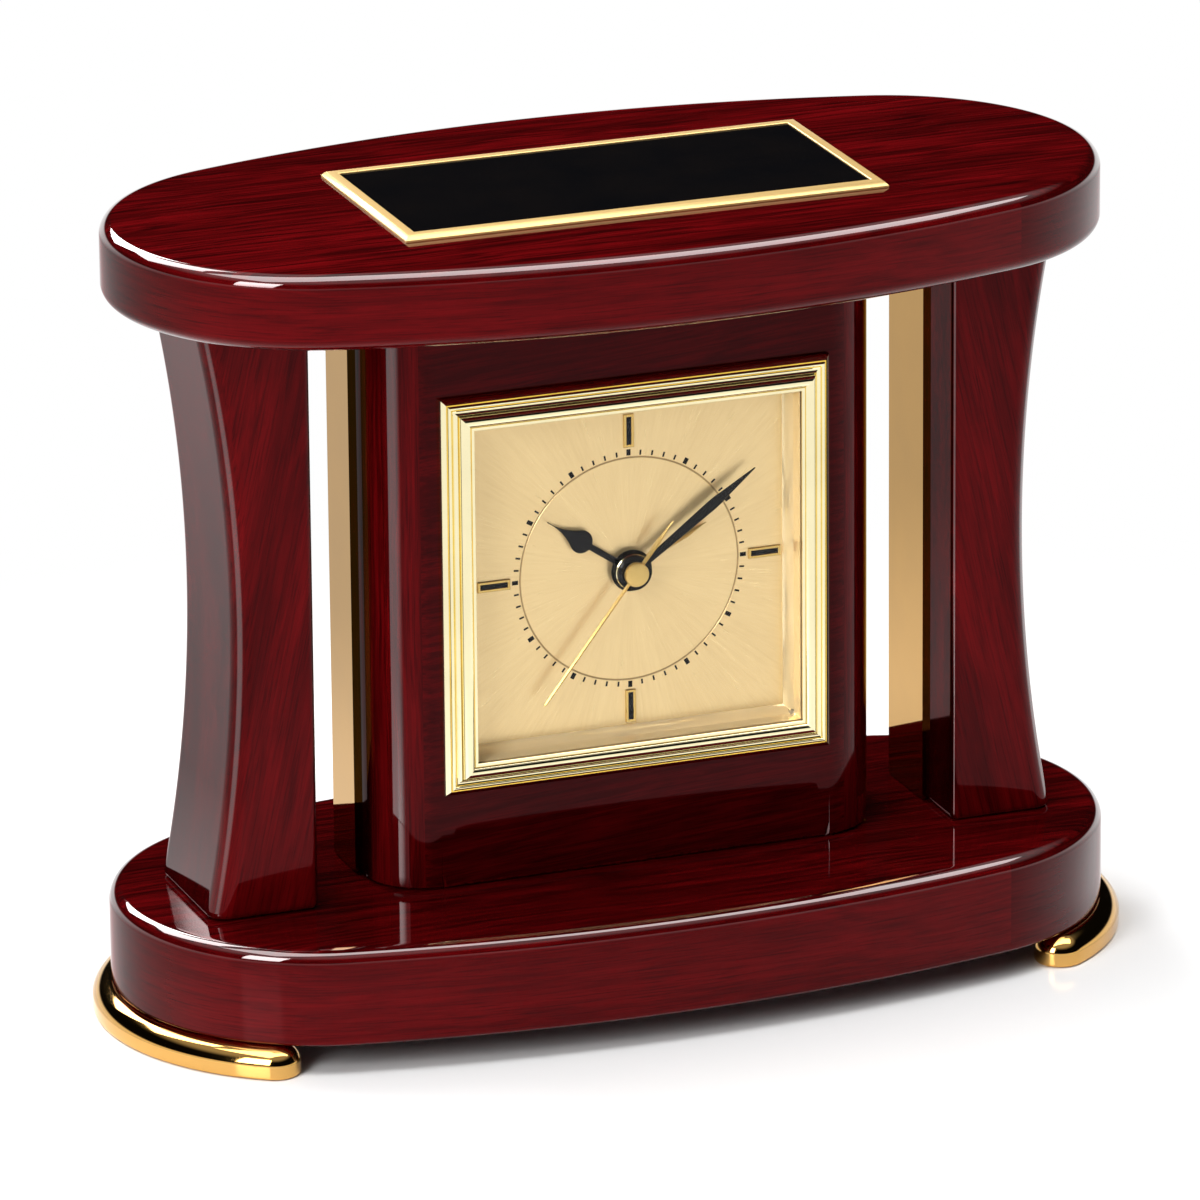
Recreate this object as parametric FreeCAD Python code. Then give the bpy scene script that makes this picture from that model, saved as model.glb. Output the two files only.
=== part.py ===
import FreeCAD, Part
import math
import os

# Mantel clock in lacquered rosewood: an oval base board and an oval top board joined by two waisted
# columns and a centre block. The block carries a square gold-framed insert with an alarm quartz
# movement. Lengths are millimetres, angles are degrees. +Z is up, the dial faces -Y, and the origin
# is on the surface that the feet stand on, in the middle of the clock.

# Woodwork
FOOT_HEIGHT = 7.0
BASE_HALF_W = 121.5
BASE_HALF_D = 57.5
BASE_END_R = 50.0
BASE_THICK = 23.0
TOP_HALF_W = 120.0
TOP_HALF_D = 60.0
TOP_END_R = 50.0
TOP_THICK = 18.0
BOARD_EDGE_R = 3.4
BASE_UNDER_R = 1.0
COLUMN_HEIGHT = 143.0
COLUMN_INNER_X = 79.2
COLUMN_OUTER_X = 105.6
COLUMN_WAIST = 7.4
COLUMN_DEPTH = 39.0
COLUMN_OUTER_R = 4.5
COLUMN_INNER_R = 1.6
BLOCK_WIDTH = 125.0
BLOCK_DEPTH = 36.0
BLOCK_FRONT_R = 14.0
BLOCK_BACK_R = 3.0

# Gold mirror strips on the facing sides, flush with the back edges
MIRROR_THICK = 1.0
COLUMN_MIRROR_W = 21.0
BLOCK_MIRROR_W = 15.0
MIRROR_END_GAP = 0.2
MIRROR_BACK_MARGIN = 1.8

# Feet
FOOT_WIDTH = 12.0
FOOT_REACH = 4.4
FOOT_HALF_ANGLE = 57.0
FOOT_SOLE_R = 0.8
FOOT_BAND = 3.4
FOOT_SCREW_ANGLES = (-42.0, 0.0, 42.0)
FOOT_SCREW_IN = 2.6

# Wood screws and dowels
SCREW_R = 2.0
SCREW_HEAD_R = 4.2
SCREW_HEAD_H = 2.4
SCREW_GRIP = 22.0
SCREW_FIT = 0.05
SCREW_SINK = 1.0
FOOT_SCREW_R = 1.5
FOOT_SCREW_HEAD_R = 3.0
FOOT_SCREW_HEAD_H = 1.8
FOOT_SCREW_GRIP = 9.0
FOOT_SCREW_SINK = 0.6
COLUMN_SCREW_Y = 11.0
BLOCK_SCREW_X = 45.0
DOWEL_R = 4.0
DOWEL_SEAT = 11.0
DOWEL_FIT = 0.05

# Engraving plate on the top board
PLATE_W = 118.0
PLATE_D = 58.0
PLATE_THICK = 1.4
PLATE_BEVEL = 1.0
PLATE_RIM = 3.2
FIELD_THICK = 0.5
FIELD_SUNK = 0.3

# Insert, measured across its square front
BEZEL_HALF = 48.0
LENS_LIP = 7.6
LENS_SEAT = 6.8
BEZEL_EDGE_H = 1.4
BEZEL_PEAK_H = 4.2
LIP_FRONT_H = 3.5
LIP_THICK = 0.5
LENS_THICK = 0.8
SKIRT_WALL = 1.2
SKIRT_DEPTH = 6.8
SEAT_GAP = 0.1
DIAL_DEPTH = 3.8
DIAL_THICK = 0.8
DIAL_OPENING_HALF = 38.2
DIAL_WALL_FOOT_H = -1.5
DIAL_WALL_LEAN = 0.2
DIAL_HOLE_R = 2.7
POCKET_HALF = 42.7
POCKET_DEPTH = 7.4
POCKET_CORNER_R = 0.8
BORE_R = 41.8
BATON_IN_R = 29.6
BATON_OUT_R = 37.6
BATON_WIDTH = 2.5
BATON_BORDER = 0.65
BATON_HEIGHT = 0.5
BATON_BAR_HEIGHT = 0.35
CASE_SCREW_AT = 39.6
CASE_SCREW_R = 0.7
CASE_SCREW_HEAD_R = 1.3
CASE_SCREW_HEAD_H = 0.7
CASE_SCREW_GRIP = 4.6
CASE_SCREW_FIT = 0.05

# Insert case and rubber grip ring
CASE_R = 39.5
CASE_WALL = 1.6
CASE_FLANGE = 1.4
CASE_BACK = 1.5
RING_R = 41.6
RING_FRONT_Y = -7.0
RING_WIDTH = 5.0
RING_FIT = 0.02

# Movement box, in places measured from the dial's centre
BOX_HALF_W = 25.5
BOX_DROP = 25.5
BOX_RISE = 23.5
BOX_FRONT_PLATE = 1.3
BOX_WALL = 1.2
BOX_BACK_Y = 4.0
BOX_BACK_PLATE = 1.5
BOX_FIT = 0.2
CAVITY_DROP = 12.0
TAB_WIDTH = 5.0
TAB_THICK = 0.8
TAB_DEPTH = 3.0

# Battery and its bay
CELL_R = 5.25
CELL_LENGTH = 43.5
NUB_R = 1.9
NUB_LENGTH = 1.0
CELL_DROP = 18.5
BAY_FIT = 0.45
CONTACT_THICK = 0.4
CONTACT_HALF_H = 4.0
COVER_THICK = 1.2
COVER_LEDGE = 0.6
COVER_FIT = 0.2
COVER_GROOVE_R = 3.0
COVER_GROOVE_LENGTH = 10.0
COVER_GROOVE_DEPTH = 0.6
COVER_GROOVE_MARGIN = 4.0

# Gear train: tooth counts and modules
ROTOR_PINION_Z = 8
INTERMEDIATE_Z = 40
INTERMEDIATE_PINION_Z = 8
SECOND_Z = 48
SECOND_PINION_Z = 8
THIRD_Z = 60
THIRD_PINION_Z = 8
CENTRE_Z = 64
CANNON_Z = 10
MINUTE_Z = 30
MINUTE_PINION_Z = 8
HOUR_Z = 32
SET_PINION_Z = 12
ALARM_Z = 32
ALARM_SET_Z = 40
MOTION_MODULE = 0.42
CENTRE_MODULE = 0.35
SECOND_MODULE = 0.45
ROTOR_MODULE = 0.36
THIRD_ANGLE = 45.0
INTERMEDIATE_ANGLE = 135.0
ROTOR_ANGLE = 100.0
MOTION_ANGLE = 180.0
SET_ANGLE = 190.0
ALARM_SET_ANGLE = -15.0

# Gear train: layers from the front plate back
WHEEL_THICK = 0.9
PINION_OVERHANG = 0.1
ALARM_LAYER_Y = -11.9
LAYER_PITCH = 1.2
CENTRE_LAYER_Y = -8.0
TRAIN_PITCH = 1.5
ARBOR_R = 0.5
RUNNING_FIT = 0.08
PIPE_WALL = 0.52
ARBOR_END_GAP = 0.3
STUD_R = 0.8
MAGNET_R = 2.8
MAGNET_LENGTH = 2.6

# Hands: tip radii, the shown time in degrees clockwise from the top, and their planes
HOUR_TIP_R = 25.0
MINUTE_TIP_R = 37.2
SECOND_TIP_R = 37.4
SECOND_TAIL_R = 15.0
ALARM_TIP_R = 21.0
HOUR_DEG = 304.5
MINUTE_DEG = 54.0
SECOND_DEG = 218.0
ALARM_DEG = 64.0
HAND_THICK = 0.4
HOUR_BOSS_R = 5.0
BUSH_R = 4.3
MINUTE_BOSS_R = 4.2
ALARM_BOSS_R = 3.6
CAP_R = 2.9
ALARM_GAP = 0.5
HOUR_GAP = 0.4
BUSH_LENGTH = 1.1
MINUTE_GAP = 0.3
MINUTE_BOSS_H = 0.5
SECOND_GAP = 0.3
CAP_HEIGHT = 1.2

# Knobs, alarm switch, coil, circuit board and buzzer
KNOB_R = 4.4
KNOB_LENGTH = 4.6
KNOB_GAP = 0.5
KNOB_FLUTES = 10
KNOB_FLUTE_R = 0.7
SWITCH_X = -31.5
SWITCH_TRAVEL = 3.5
SWITCH_STEM_W = 2.8
SWITCH_STEM_H = 4.6
SWITCH_FLANGE_W = 6.0
SWITCH_FLANGE_H = 7.6
SWITCH_FLANGE_T = 1.2
SWITCH_PROUD = 1.6
SLIDE_FIT = 0.1
STATOR_THICK = 0.8
STATOR_Y = -1.6
STATOR_HOLE_R = 3.4
COIL_R = 3.0
COIL_RISE = 17.6
CORE_WIDTH = 1.8
BOARD_THICK = 0.8
CRYSTAL_R = 1.0
CRYSTAL_LENGTH = 6.0
BUZZER_R = 6.0
BUZZER_THICK = 3.0
BUZZER_RISE = 30.2
BUZZER_HOLE_R = 0.9

# Levels that the pieces share
BASE_TOP = FOOT_HEIGHT + BASE_THICK
TOP_BOTTOM = BASE_TOP + COLUMN_HEIGHT
TOP_SURFACE = TOP_BOTTOM + TOP_THICK
DIAL_Z = BASE_TOP + COLUMN_HEIGHT / 2
BLOCK_FRONT = -BLOCK_DEPTH / 2
BLOCK_BACK = BLOCK_DEPTH / 2
DIAL_Y = BLOCK_FRONT + DIAL_DEPTH
DIAL_BACK = DIAL_Y + DIAL_THICK
LENS_FRONT = BLOCK_FRONT - LIP_FRONT_H + LIP_THICK
LENS_BACK = LENS_FRONT + LENS_THICK
SEAT_HALF = BEZEL_HALF - LENS_SEAT
BOX_TOP = DIAL_Z + BOX_RISE
BOX_BOTTOM = DIAL_Z - BOX_DROP
CAVITY_BACK = BOX_BACK_Y - BOX_BACK_PLATE
CELL_Z = DIAL_Z - CELL_DROP
COVER_SEAT = BOX_BACK_Y - COVER_THICK
CELL_Y = COVER_SEAT - CELL_R - SLIDE_FIT
BAY_R = CELL_R + BAY_FIT
BAY_HALF = BOX_HALF_W - BOX_WALL
HOUR_LAYER_Y = ALARM_LAYER_Y + LAYER_PITCH
MINUTE_LAYER_Y = HOUR_LAYER_Y + LAYER_PITCH
THIRD_LAYER_Y = CENTRE_LAYER_Y + TRAIN_PITCH
SECOND_LAYER_Y = THIRD_LAYER_Y + TRAIN_PITCH
INTERMEDIATE_LAYER_Y = SECOND_LAYER_Y + TRAIN_PITCH
MAGNET_Y = INTERMEDIATE_LAYER_Y + WHEEL_THICK + PINION_OVERHANG
HUB_R = ARBOR_R + RUNNING_FIT
MINUTE_PIPE_R = HUB_R + PIPE_WALL
HOUR_PIPE_R = MINUTE_PIPE_R + RUNNING_FIT + PIPE_WALL
ALARM_PIPE_R = HOUR_PIPE_R + RUNNING_FIT + PIPE_WALL
ALARM_HAND_Y = DIAL_Y - ALARM_GAP
HOUR_HAND_Y = ALARM_HAND_Y - HAND_THICK - HOUR_GAP
BUSH_FRONT = HOUR_HAND_Y - HAND_THICK - BUSH_LENGTH
MINUTE_HAND_Y = BUSH_FRONT - MINUTE_GAP
MINUTE_FRONT = MINUTE_HAND_Y - HAND_THICK - MINUTE_BOSS_H
SECOND_HAND_Y = MINUTE_FRONT - SECOND_GAP
CAP_FRONT = SECOND_HAND_Y - CAP_HEIGHT


def vec(x, y, z):
    return FreeCAD.Vector(x, y, z)


def slab(x0, x1, y0, y1, z0, z1):
    """Box between two corners."""
    return Part.makeBox(x1 - x0, y1 - y0, z1 - z0, vec(x0, y0, z0))


def disc(x, z, radius, y0, y1):
    """Cylinder along Y between two planes."""
    return Part.makeCylinder(radius, y1 - y0, vec(x, y0, z), vec(0, 1, 0))


def tube(x, z, outer, inner, y0, y1):
    return disc(x, z, outer, y0, y1).cut(disc(x, z, inner, y0 - 1, y1 + 1))


def post(x, y, radius, z0, z1):
    """Cylinder along Z between two levels."""
    return Part.makeCylinder(radius, z1 - z0, vec(x, y, z0))


def fused(shapes):
    first = shapes[0]
    return first.multiFuse(shapes[1:]).removeSplitter() if len(shapes) > 1 else first


def around_dial(angle, radius):
    """Point in the dial's plane, with the angle counted from +X towards +Z."""
    turn = math.radians(angle)
    return radius * math.cos(turn), DIAL_Z + radius * math.sin(turn)


def prism_y(points, y0, y1):
    """Straight-sided outline in X and Z, carried along Y."""
    wire = Part.makePolygon([vec(x, y0, z) for x, z in points + points[:1]])
    return Part.Face(wire).extrude(vec(0, y1 - y0, 0))


def vertical_edges(solid, x_test, y_test):
    """Edges that rise along Z or bow beside it, picked by where their middle lies."""
    found = []
    for edge in solid.Edges:
        low, high = edge.BoundBox.ZMin, edge.BoundBox.ZMax
        middle = edge.valueAt((edge.FirstParameter + edge.LastParameter) / 2)
        if high - low > 0.9 * solid.BoundBox.ZLength and x_test(middle.x) and y_test(middle.y):
            found.append(edge)
    return found


# Boards

def oval_face(half_w, half_d, end_r, z):
    """Four-centred oval: two end arcs joined by two wide side arcs, each tangent to the next."""
    end_x = half_w - end_r
    side_r = (end_x ** 2 + half_d ** 2 - end_r ** 2) / (2 * (half_d - end_r))
    drop = side_r - half_d
    lean = math.atan2(end_x, drop)
    join_x, join_y = end_x + end_r * math.sin(lean), end_r * math.cos(lean)
    edges = [
        Part.Arc(vec(join_x, -join_y, z), vec(half_w, 0, z), vec(join_x, join_y, z)).toShape(),
        Part.Arc(vec(join_x, join_y, z), vec(0, half_d, z), vec(-join_x, join_y, z)).toShape(),
        Part.Arc(vec(-join_x, join_y, z), vec(-half_w, 0, z), vec(-join_x, -join_y, z)).toShape(),
        Part.Arc(vec(-join_x, -join_y, z), vec(0, -half_d, z), vec(join_x, -join_y, z)).toShape(),
    ]
    return Part.Face(Part.Wire(edges))


def oval_board(half_w, half_d, end_r, z, thick, under_r):
    """Oval board with its upper and lower edges rounded, each to its own radius."""
    board = oval_face(half_w, half_d, end_r, z).extrude(vec(0, 0, thick))
    upper = [e for e in board.Edges if e.BoundBox.ZMin > z + thick / 2]
    board = board.makeFillet(BOARD_EDGE_R, upper)
    lower = [e for e in board.Edges if e.BoundBox.ZMax < z + thick / 2]
    return board.makeFillet(under_r, lower)


def screw_places():
    """Wood screws that rise through the base into the columns and the block."""
    column_x = (COLUMN_INNER_X + COLUMN_OUTER_X - COLUMN_WAIST) / 2
    places = [(side * column_x, y) for side in (-1, 1) for y in (-COLUMN_SCREW_Y, COLUMN_SCREW_Y)]
    return places + [(-BLOCK_SCREW_X, 0.0), (BLOCK_SCREW_X, 0.0)]


def dowel_places():
    """Dowels between the top board and the columns and block."""
    column_x = (COLUMN_INNER_X + COLUMN_OUTER_X - COLUMN_WAIST) / 2
    places = [(side * column_x, y) for side in (-1, 1) for y in (-COLUMN_SCREW_Y, COLUMN_SCREW_Y)]
    return places + [(-BLOCK_SCREW_X, 0.0), (BLOCK_SCREW_X, 0.0)]


def screw_hole(x, y):
    """Countersunk hole through the base."""
    sink = FOOT_HEIGHT + SCREW_SINK
    straight = post(x, y, SCREW_R + SCREW_FIT, FOOT_HEIGHT - 1, BASE_TOP + 1)
    mouth = post(x, y, SCREW_HEAD_R + SCREW_FIT, FOOT_HEIGHT - 1, sink)
    cone = Part.makeCone(SCREW_HEAD_R + SCREW_FIT, SCREW_R + SCREW_FIT, SCREW_HEAD_H, vec(x, y, sink))
    return straight.fuse([mouth, cone])


def screw(x, y, z, radius, head_r, head_h, length):
    """Countersunk screw that points up, with its head's flat face at z and a turned point."""
    outline = [
        vec(0, 0, 0), vec(head_r, 0, 0), vec(radius, 0, head_h),
        vec(radius, 0, length - 2 * radius), vec(0, 0, length), vec(0, 0, 0),
    ]
    solid = Part.Face(Part.makePolygon(outline)).revolve(vec(0, 0, 0), vec(0, 0, 1), 360)
    slot = slab(-head_r, head_r, -radius / 5, radius / 5, -1, head_h / 3)
    solid = solid.cut(slot)
    solid.translate(vec(x, y, z))
    return solid


def base_board():
    board = oval_board(BASE_HALF_W, BASE_HALF_D, BASE_END_R, FOOT_HEIGHT, BASE_THICK, BASE_UNDER_R)
    cuts = [screw_hole(x, y) for x, y in screw_places()]
    cuts += [post(x, y, FOOT_SCREW_R + SCREW_FIT, FOOT_HEIGHT - 1, foot_screw_top())
             for x, y in foot_screw_places()]
    return board.cut(cuts)


def top_board():
    board = oval_board(TOP_HALF_W, TOP_HALF_D, TOP_END_R, TOP_BOTTOM, TOP_THICK, BOARD_EDGE_R)
    holes = [post(x, y, DOWEL_R + DOWEL_FIT, TOP_BOTTOM - 1, TOP_BOTTOM + DOWEL_SEAT + SLIDE_FIT)
             for x, y in dowel_places()]
    return board.cut(holes)


# Columns, block and mirror strips

def upright_holes(places):
    """Screw holes at the bottom and dowel holes at the top of an upright."""
    holes = [post(x, y, SCREW_R + SCREW_FIT, BASE_TOP - 1, BASE_TOP + SCREW_GRIP) for x, y in places]
    holes += [post(x, y, DOWEL_R + DOWEL_FIT, TOP_BOTTOM - DOWEL_SEAT - SLIDE_FIT, TOP_BOTTOM + 1)
              for x, y in places]
    return holes


def column(side):
    """Upright with a flat inner face and an outer face that is an arc, narrowest half way up."""
    half = COLUMN_DEPTH / 2
    inner, outer = side * COLUMN_INNER_X, side * COLUMN_OUTER_X
    waist = side * (COLUMN_OUTER_X - COLUMN_WAIST)
    low_in, low_out = vec(inner, -half, BASE_TOP), vec(outer, -half, BASE_TOP)
    high_out, high_in = vec(outer, -half, TOP_BOTTOM), vec(inner, -half, TOP_BOTTOM)
    middle = vec(waist, -half, (BASE_TOP + TOP_BOTTOM) / 2)
    edges = [
        Part.makeLine(low_in, low_out),
        Part.Arc(low_out, middle, high_out).toShape(),
        Part.makeLine(high_out, high_in),
        Part.makeLine(high_in, low_in),
    ]
    solid = Part.Face(Part.Wire(edges)).extrude(vec(0, COLUMN_DEPTH, 0))
    limit = (COLUMN_INNER_X + COLUMN_OUTER_X - COLUMN_WAIST) / 2
    outer_edges = vertical_edges(solid, lambda x: abs(x) > limit, lambda y: True)
    solid = solid.makeFillet(COLUMN_OUTER_R, outer_edges)
    inner_edges = vertical_edges(solid, lambda x: abs(x) < COLUMN_INNER_X + 0.01, lambda y: abs(y) > half - 0.01)
    solid = solid.makeFillet(COLUMN_INNER_R, inner_edges)
    places = [(x, y) for x, y in screw_places() if x * side > COLUMN_INNER_X]
    return solid.cut(upright_holes(places))


def clock_block():
    half = BLOCK_WIDTH / 2
    solid = slab(-half, half, BLOCK_FRONT, BLOCK_BACK, BASE_TOP, TOP_BOTTOM)
    solid = solid.makeFillet(BLOCK_FRONT_R, vertical_edges(solid, lambda x: True, lambda y: y < 0))
    back = vertical_edges(solid, lambda x: abs(x) > half - 0.01, lambda y: y > BLOCK_BACK - 0.01)
    solid = solid.makeFillet(BLOCK_BACK_R, back)
    pocket = slab(-POCKET_HALF, POCKET_HALF, BLOCK_FRONT - 1, BLOCK_FRONT + POCKET_DEPTH,
                  DIAL_Z - POCKET_HALF, DIAL_Z + POCKET_HALF)
    corners = [e for e in pocket.Edges if e.BoundBox.YLength > POCKET_DEPTH / 2]
    pocket = pocket.makeFillet(POCKET_CORNER_R, corners)
    bore = disc(0, DIAL_Z, BORE_R, BLOCK_FRONT, BLOCK_BACK + 1)
    places = [(x, y) for x, y in screw_places() if abs(x) < COLUMN_INNER_X]
    return solid.cut([pocket, bore] + upright_holes(places))


def mirror(x0, x1, y_back, width):
    return slab(min(x0, x1), max(x0, x1), y_back - width, y_back,
                BASE_TOP + MIRROR_END_GAP, TOP_BOTTOM - MIRROR_END_GAP)


def column_mirror(side):
    face = side * COLUMN_INNER_X
    return mirror(face, face - side * MIRROR_THICK, COLUMN_DEPTH / 2 - MIRROR_BACK_MARGIN, COLUMN_MIRROR_W)


def block_mirror(side):
    face = side * BLOCK_WIDTH / 2
    return mirror(face, face + side * MIRROR_THICK, BLOCK_BACK - BLOCK_BACK_R, BLOCK_MIRROR_W)


# Feet

def foot_centre():
    """Distance from the middle of the clock to the centre of the base board's end arc."""
    return BASE_HALF_W - BASE_END_R


def foot_line_radius():
    return BASE_END_R + FOOT_REACH - FOOT_WIDTH / 2


def foot_screw_top():
    return FOOT_SCREW_SINK + FOOT_SCREW_HEAD_H + FOOT_SCREW_GRIP


def foot_screw_places():
    """Screws in the feet, set in from the foot's middle line so that the board covers them."""
    centre, radius = foot_centre(), foot_line_radius() - FOOT_SCREW_IN
    places = []
    for side in (-1, 1):
        for angle in FOOT_SCREW_ANGLES:
            turn = math.radians(angle)
            places.append((side * (centre + radius * math.cos(turn)), radius * math.sin(turn)))
    return places


def foot_profile(centre_x, half_only):
    """Cross-section: a flat sole, an upright band and a domed shoulder that rises to the board. The whole
    one, or the half on its outer side."""
    half_w, r, h, band, reach = FOOT_WIDTH / 2, FOOT_SOLE_R, FOOT_HEIGHT, FOOT_BAND, FOOT_REACH
    bend = r * (1 - math.sqrt(0.5))
    corners = [(r, 0), (bend, bend), (0, r), (0, band), (0.32 * reach, band + 0.66 * (h - band)), (reach, h)]
    right = [vec(centre_x + half_w - inset, 0, z) for inset, z in corners]
    edges = [
        Part.Arc(right[0], right[1], right[2]).toShape(),
        Part.makeLine(right[2], right[3]),
        Part.Arc(right[3], right[4], right[5]).toShape(),
    ]
    if half_only:
        top, sole = vec(centre_x, 0, h), vec(centre_x, 0, 0)
        edges += [Part.makeLine(right[5], top), Part.makeLine(top, sole), Part.makeLine(sole, right[0])]
        return Part.Face(Part.Wire(edges))
    left = [vec(centre_x - half_w + inset, 0, z) for inset, z in corners]
    edges += [
        Part.makeLine(right[5], left[5]),
        Part.Arc(left[5], left[4], left[3]).toShape(),
        Part.makeLine(left[3], left[2]),
        Part.Arc(left[2], left[1], left[0]).toShape(),
        Part.makeLine(left[0], right[0]),
    ]
    return Part.Face(Part.Wire(edges))


def foot(side):
    """Crescent under one end of the base, with the same rounded section turned about each tip."""
    centre, radius = foot_centre(), foot_line_radius()
    section = foot_profile(radius, False)
    section.rotate(vec(0, 0, 0), vec(0, 0, 1), -FOOT_HALF_ANGLE)
    shapes = [section.revolve(vec(0, 0, 0), vec(0, 0, 1), 2 * FOOT_HALF_ANGLE)]
    for end in (-1, 1):
        turn = math.radians(end * FOOT_HALF_ANGLE)
        tip = foot_profile(0, True).revolve(vec(0, 0, 0), vec(0, 0, 1), 180)
        tip.rotate(vec(0, 0, 0), vec(0, 0, 1), end * FOOT_HALF_ANGLE + (0 if end > 0 else 180))
        tip.translate(vec(radius * math.cos(turn), radius * math.sin(turn), 0))
        shapes.append(tip)
    solid = fused(shapes)
    if side < 0:
        solid.rotate(vec(0, 0, 0), vec(0, 0, 1), 180)
    solid.translate(vec(side * centre, 0, 0))
    cuts = []
    for x, y in foot_screw_places():
        if x * side > 0:
            cuts.append(post(x, y, FOOT_SCREW_R + SCREW_FIT, -1, FOOT_HEIGHT + 1))
            cuts.append(post(x, y, FOOT_SCREW_HEAD_R + SCREW_FIT, -1, FOOT_SCREW_SINK))
            cuts.append(Part.makeCone(FOOT_SCREW_HEAD_R + SCREW_FIT, FOOT_SCREW_R + SCREW_FIT,
                                      FOOT_SCREW_HEAD_H, vec(x, y, FOOT_SCREW_SINK)))
    return solid.cut(cuts)


def foot_screws():
    length = FOOT_SCREW_HEAD_H + FOOT_SCREW_GRIP - SLIDE_FIT
    return Part.makeCompound([
        screw(x, y, FOOT_SCREW_SINK, FOOT_SCREW_R, FOOT_SCREW_HEAD_R, FOOT_SCREW_HEAD_H, length)
        for x, y in foot_screw_places()])


def frame_screws():
    length = BASE_THICK - SCREW_SINK + SCREW_GRIP - SLIDE_FIT
    return Part.makeCompound([
        screw(x, y, FOOT_HEIGHT + SCREW_SINK, SCREW_R, SCREW_HEAD_R, SCREW_HEAD_H, length)
        for x, y in screw_places()])


def dowels():
    return Part.makeCompound([
        post(x, y, DOWEL_R, TOP_BOTTOM - DOWEL_SEAT, TOP_BOTTOM + DOWEL_SEAT) for x, y in dowel_places()])


# Engraving plate

def engraving_plate():
    """Brass plate with bevelled edges and a shallow field."""
    half_w, half_d = PLATE_W / 2, PLATE_D / 2
    plate = slab(-half_w, half_w, -half_d, half_d, TOP_SURFACE, TOP_SURFACE + PLATE_THICK)
    rims = [e for e in plate.Edges if e.BoundBox.ZMin > TOP_SURFACE + PLATE_THICK - 0.01]
    plate = plate.makeChamfer(PLATE_BEVEL, rims)
    depth = FIELD_THICK + FIELD_SUNK
    field = slab(-half_w + PLATE_RIM, half_w - PLATE_RIM, -half_d + PLATE_RIM, half_d - PLATE_RIM,
                 TOP_SURFACE + PLATE_THICK - depth, TOP_SURFACE + PLATE_THICK + 1)
    return plate.cut(field)


def engraving_field():
    half_w, half_d = PLATE_W / 2 - PLATE_RIM, PLATE_D / 2 - PLATE_RIM
    z = TOP_SURFACE + PLATE_THICK - FIELD_THICK - FIELD_SUNK
    return slab(-half_w, half_w, -half_d, half_d, z, z + FIELD_THICK)


# Insert front

def square_frame(profile):
    """Carries a closed profile round a square, with mitred corners. The profile is a list of lines and
    three-point arcs, each point given as the distance in from the square's edge and the height in
    front of the block's face."""
    def place(point):
        return vec(0, BLOCK_FRONT - point[1], DIAL_Z - BEZEL_HALF + point[0])
    edges = []
    for piece in profile:
        ends = [place(point) for point in piece]
        edges.append(Part.makeLine(*ends) if len(ends) == 2 else Part.Arc(*ends).toShape())
    rail = Part.Face(Part.Wire(edges)).extrude(vec(2 * BEZEL_HALF, 0, 0))
    rail.translate(vec(-BEZEL_HALF, 0, 0))
    reach = BEZEL_HALF
    wedge = prism_y([(-reach, DIAL_Z - reach), (reach, DIAL_Z - reach), (0, DIAL_Z)],
                    BLOCK_FRONT - BLOCK_DEPTH, BLOCK_BACK)
    rail = rail.common(wedge)
    rails = []
    for quarter in range(4):
        copy = rail.copy()
        copy.rotate(vec(0, 0, DIAL_Z), vec(0, 1, 0), 90 * quarter)
        rails.append(copy)
    return fused(rails)


def bezel():
    """Moulded frame: from outside in a bevel, a bead, a cove and a ridge, then the lip over the lens."""
    lip = LIP_FRONT_H
    bevel_end = (1.4, 2.6)
    bead_top, bead_end = (1.95, 2.9), (2.5, 2.6)
    cove_floor, cove_end = (3.2, 2.35), (3.9, 2.9)
    ridge_top, ridge_end = (5.3, BEZEL_PEAK_H), (6.9, lip)
    outer_skirt = LENS_SEAT - SKIRT_WALL
    return square_frame([
        [(0, 0), (0, BEZEL_EDGE_H)],
        [(0, BEZEL_EDGE_H), bevel_end],
        [bevel_end, bead_top, bead_end],
        [bead_end, cove_floor, cove_end],
        [cove_end, ridge_top, ridge_end],
        [ridge_end, (LENS_LIP, lip)],
        [(LENS_LIP, lip), (LENS_LIP, lip - LIP_THICK)],
        [(LENS_LIP, lip - LIP_THICK), (LENS_SEAT, lip - LIP_THICK)],
        [(LENS_SEAT, lip - LIP_THICK), (LENS_SEAT, -SKIRT_DEPTH)],
        [(LENS_SEAT, -SKIRT_DEPTH), (outer_skirt, -SKIRT_DEPTH)],
        [(outer_skirt, -SKIRT_DEPTH), (outer_skirt, 0)],
        [(outer_skirt, 0), (0, 0)],
    ])


def lens():
    half = SEAT_HALF - SEAT_GAP
    return slab(-half, half, LENS_FRONT, LENS_BACK, DIAL_Z - half, DIAL_Z + half)


def dial_frame():
    """Inner frame between lens and dial: a polished wall and, at its foot, a slope down to the dial."""
    outer = LENS_SEAT + SEAT_GAP
    wall_top = LENS_LIP + SEAT_GAP
    wall_foot = wall_top + DIAL_WALL_LEAN
    slope_foot = BEZEL_HALF - DIAL_OPENING_HALF
    front = LIP_FRONT_H - LIP_THICK - LENS_THICK
    solid = square_frame([
        [(outer, front), (wall_top, front)],
        [(wall_top, front), (wall_foot, DIAL_WALL_FOOT_H)],
        [(wall_foot, DIAL_WALL_FOOT_H), (slope_foot, -DIAL_DEPTH)],
        [(slope_foot, -DIAL_DEPTH), (outer, -DIAL_DEPTH)],
        [(outer, -DIAL_DEPTH), (outer, front)],
    ])
    depth = CASE_SCREW_GRIP - CASE_FLANGE - DIAL_THICK
    holes = [disc(x, z, CASE_SCREW_R + CASE_SCREW_FIT, DIAL_Y - depth, DIAL_Y + 1) for x, z in case_screw_places()]
    return solid.cut(holes)


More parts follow.
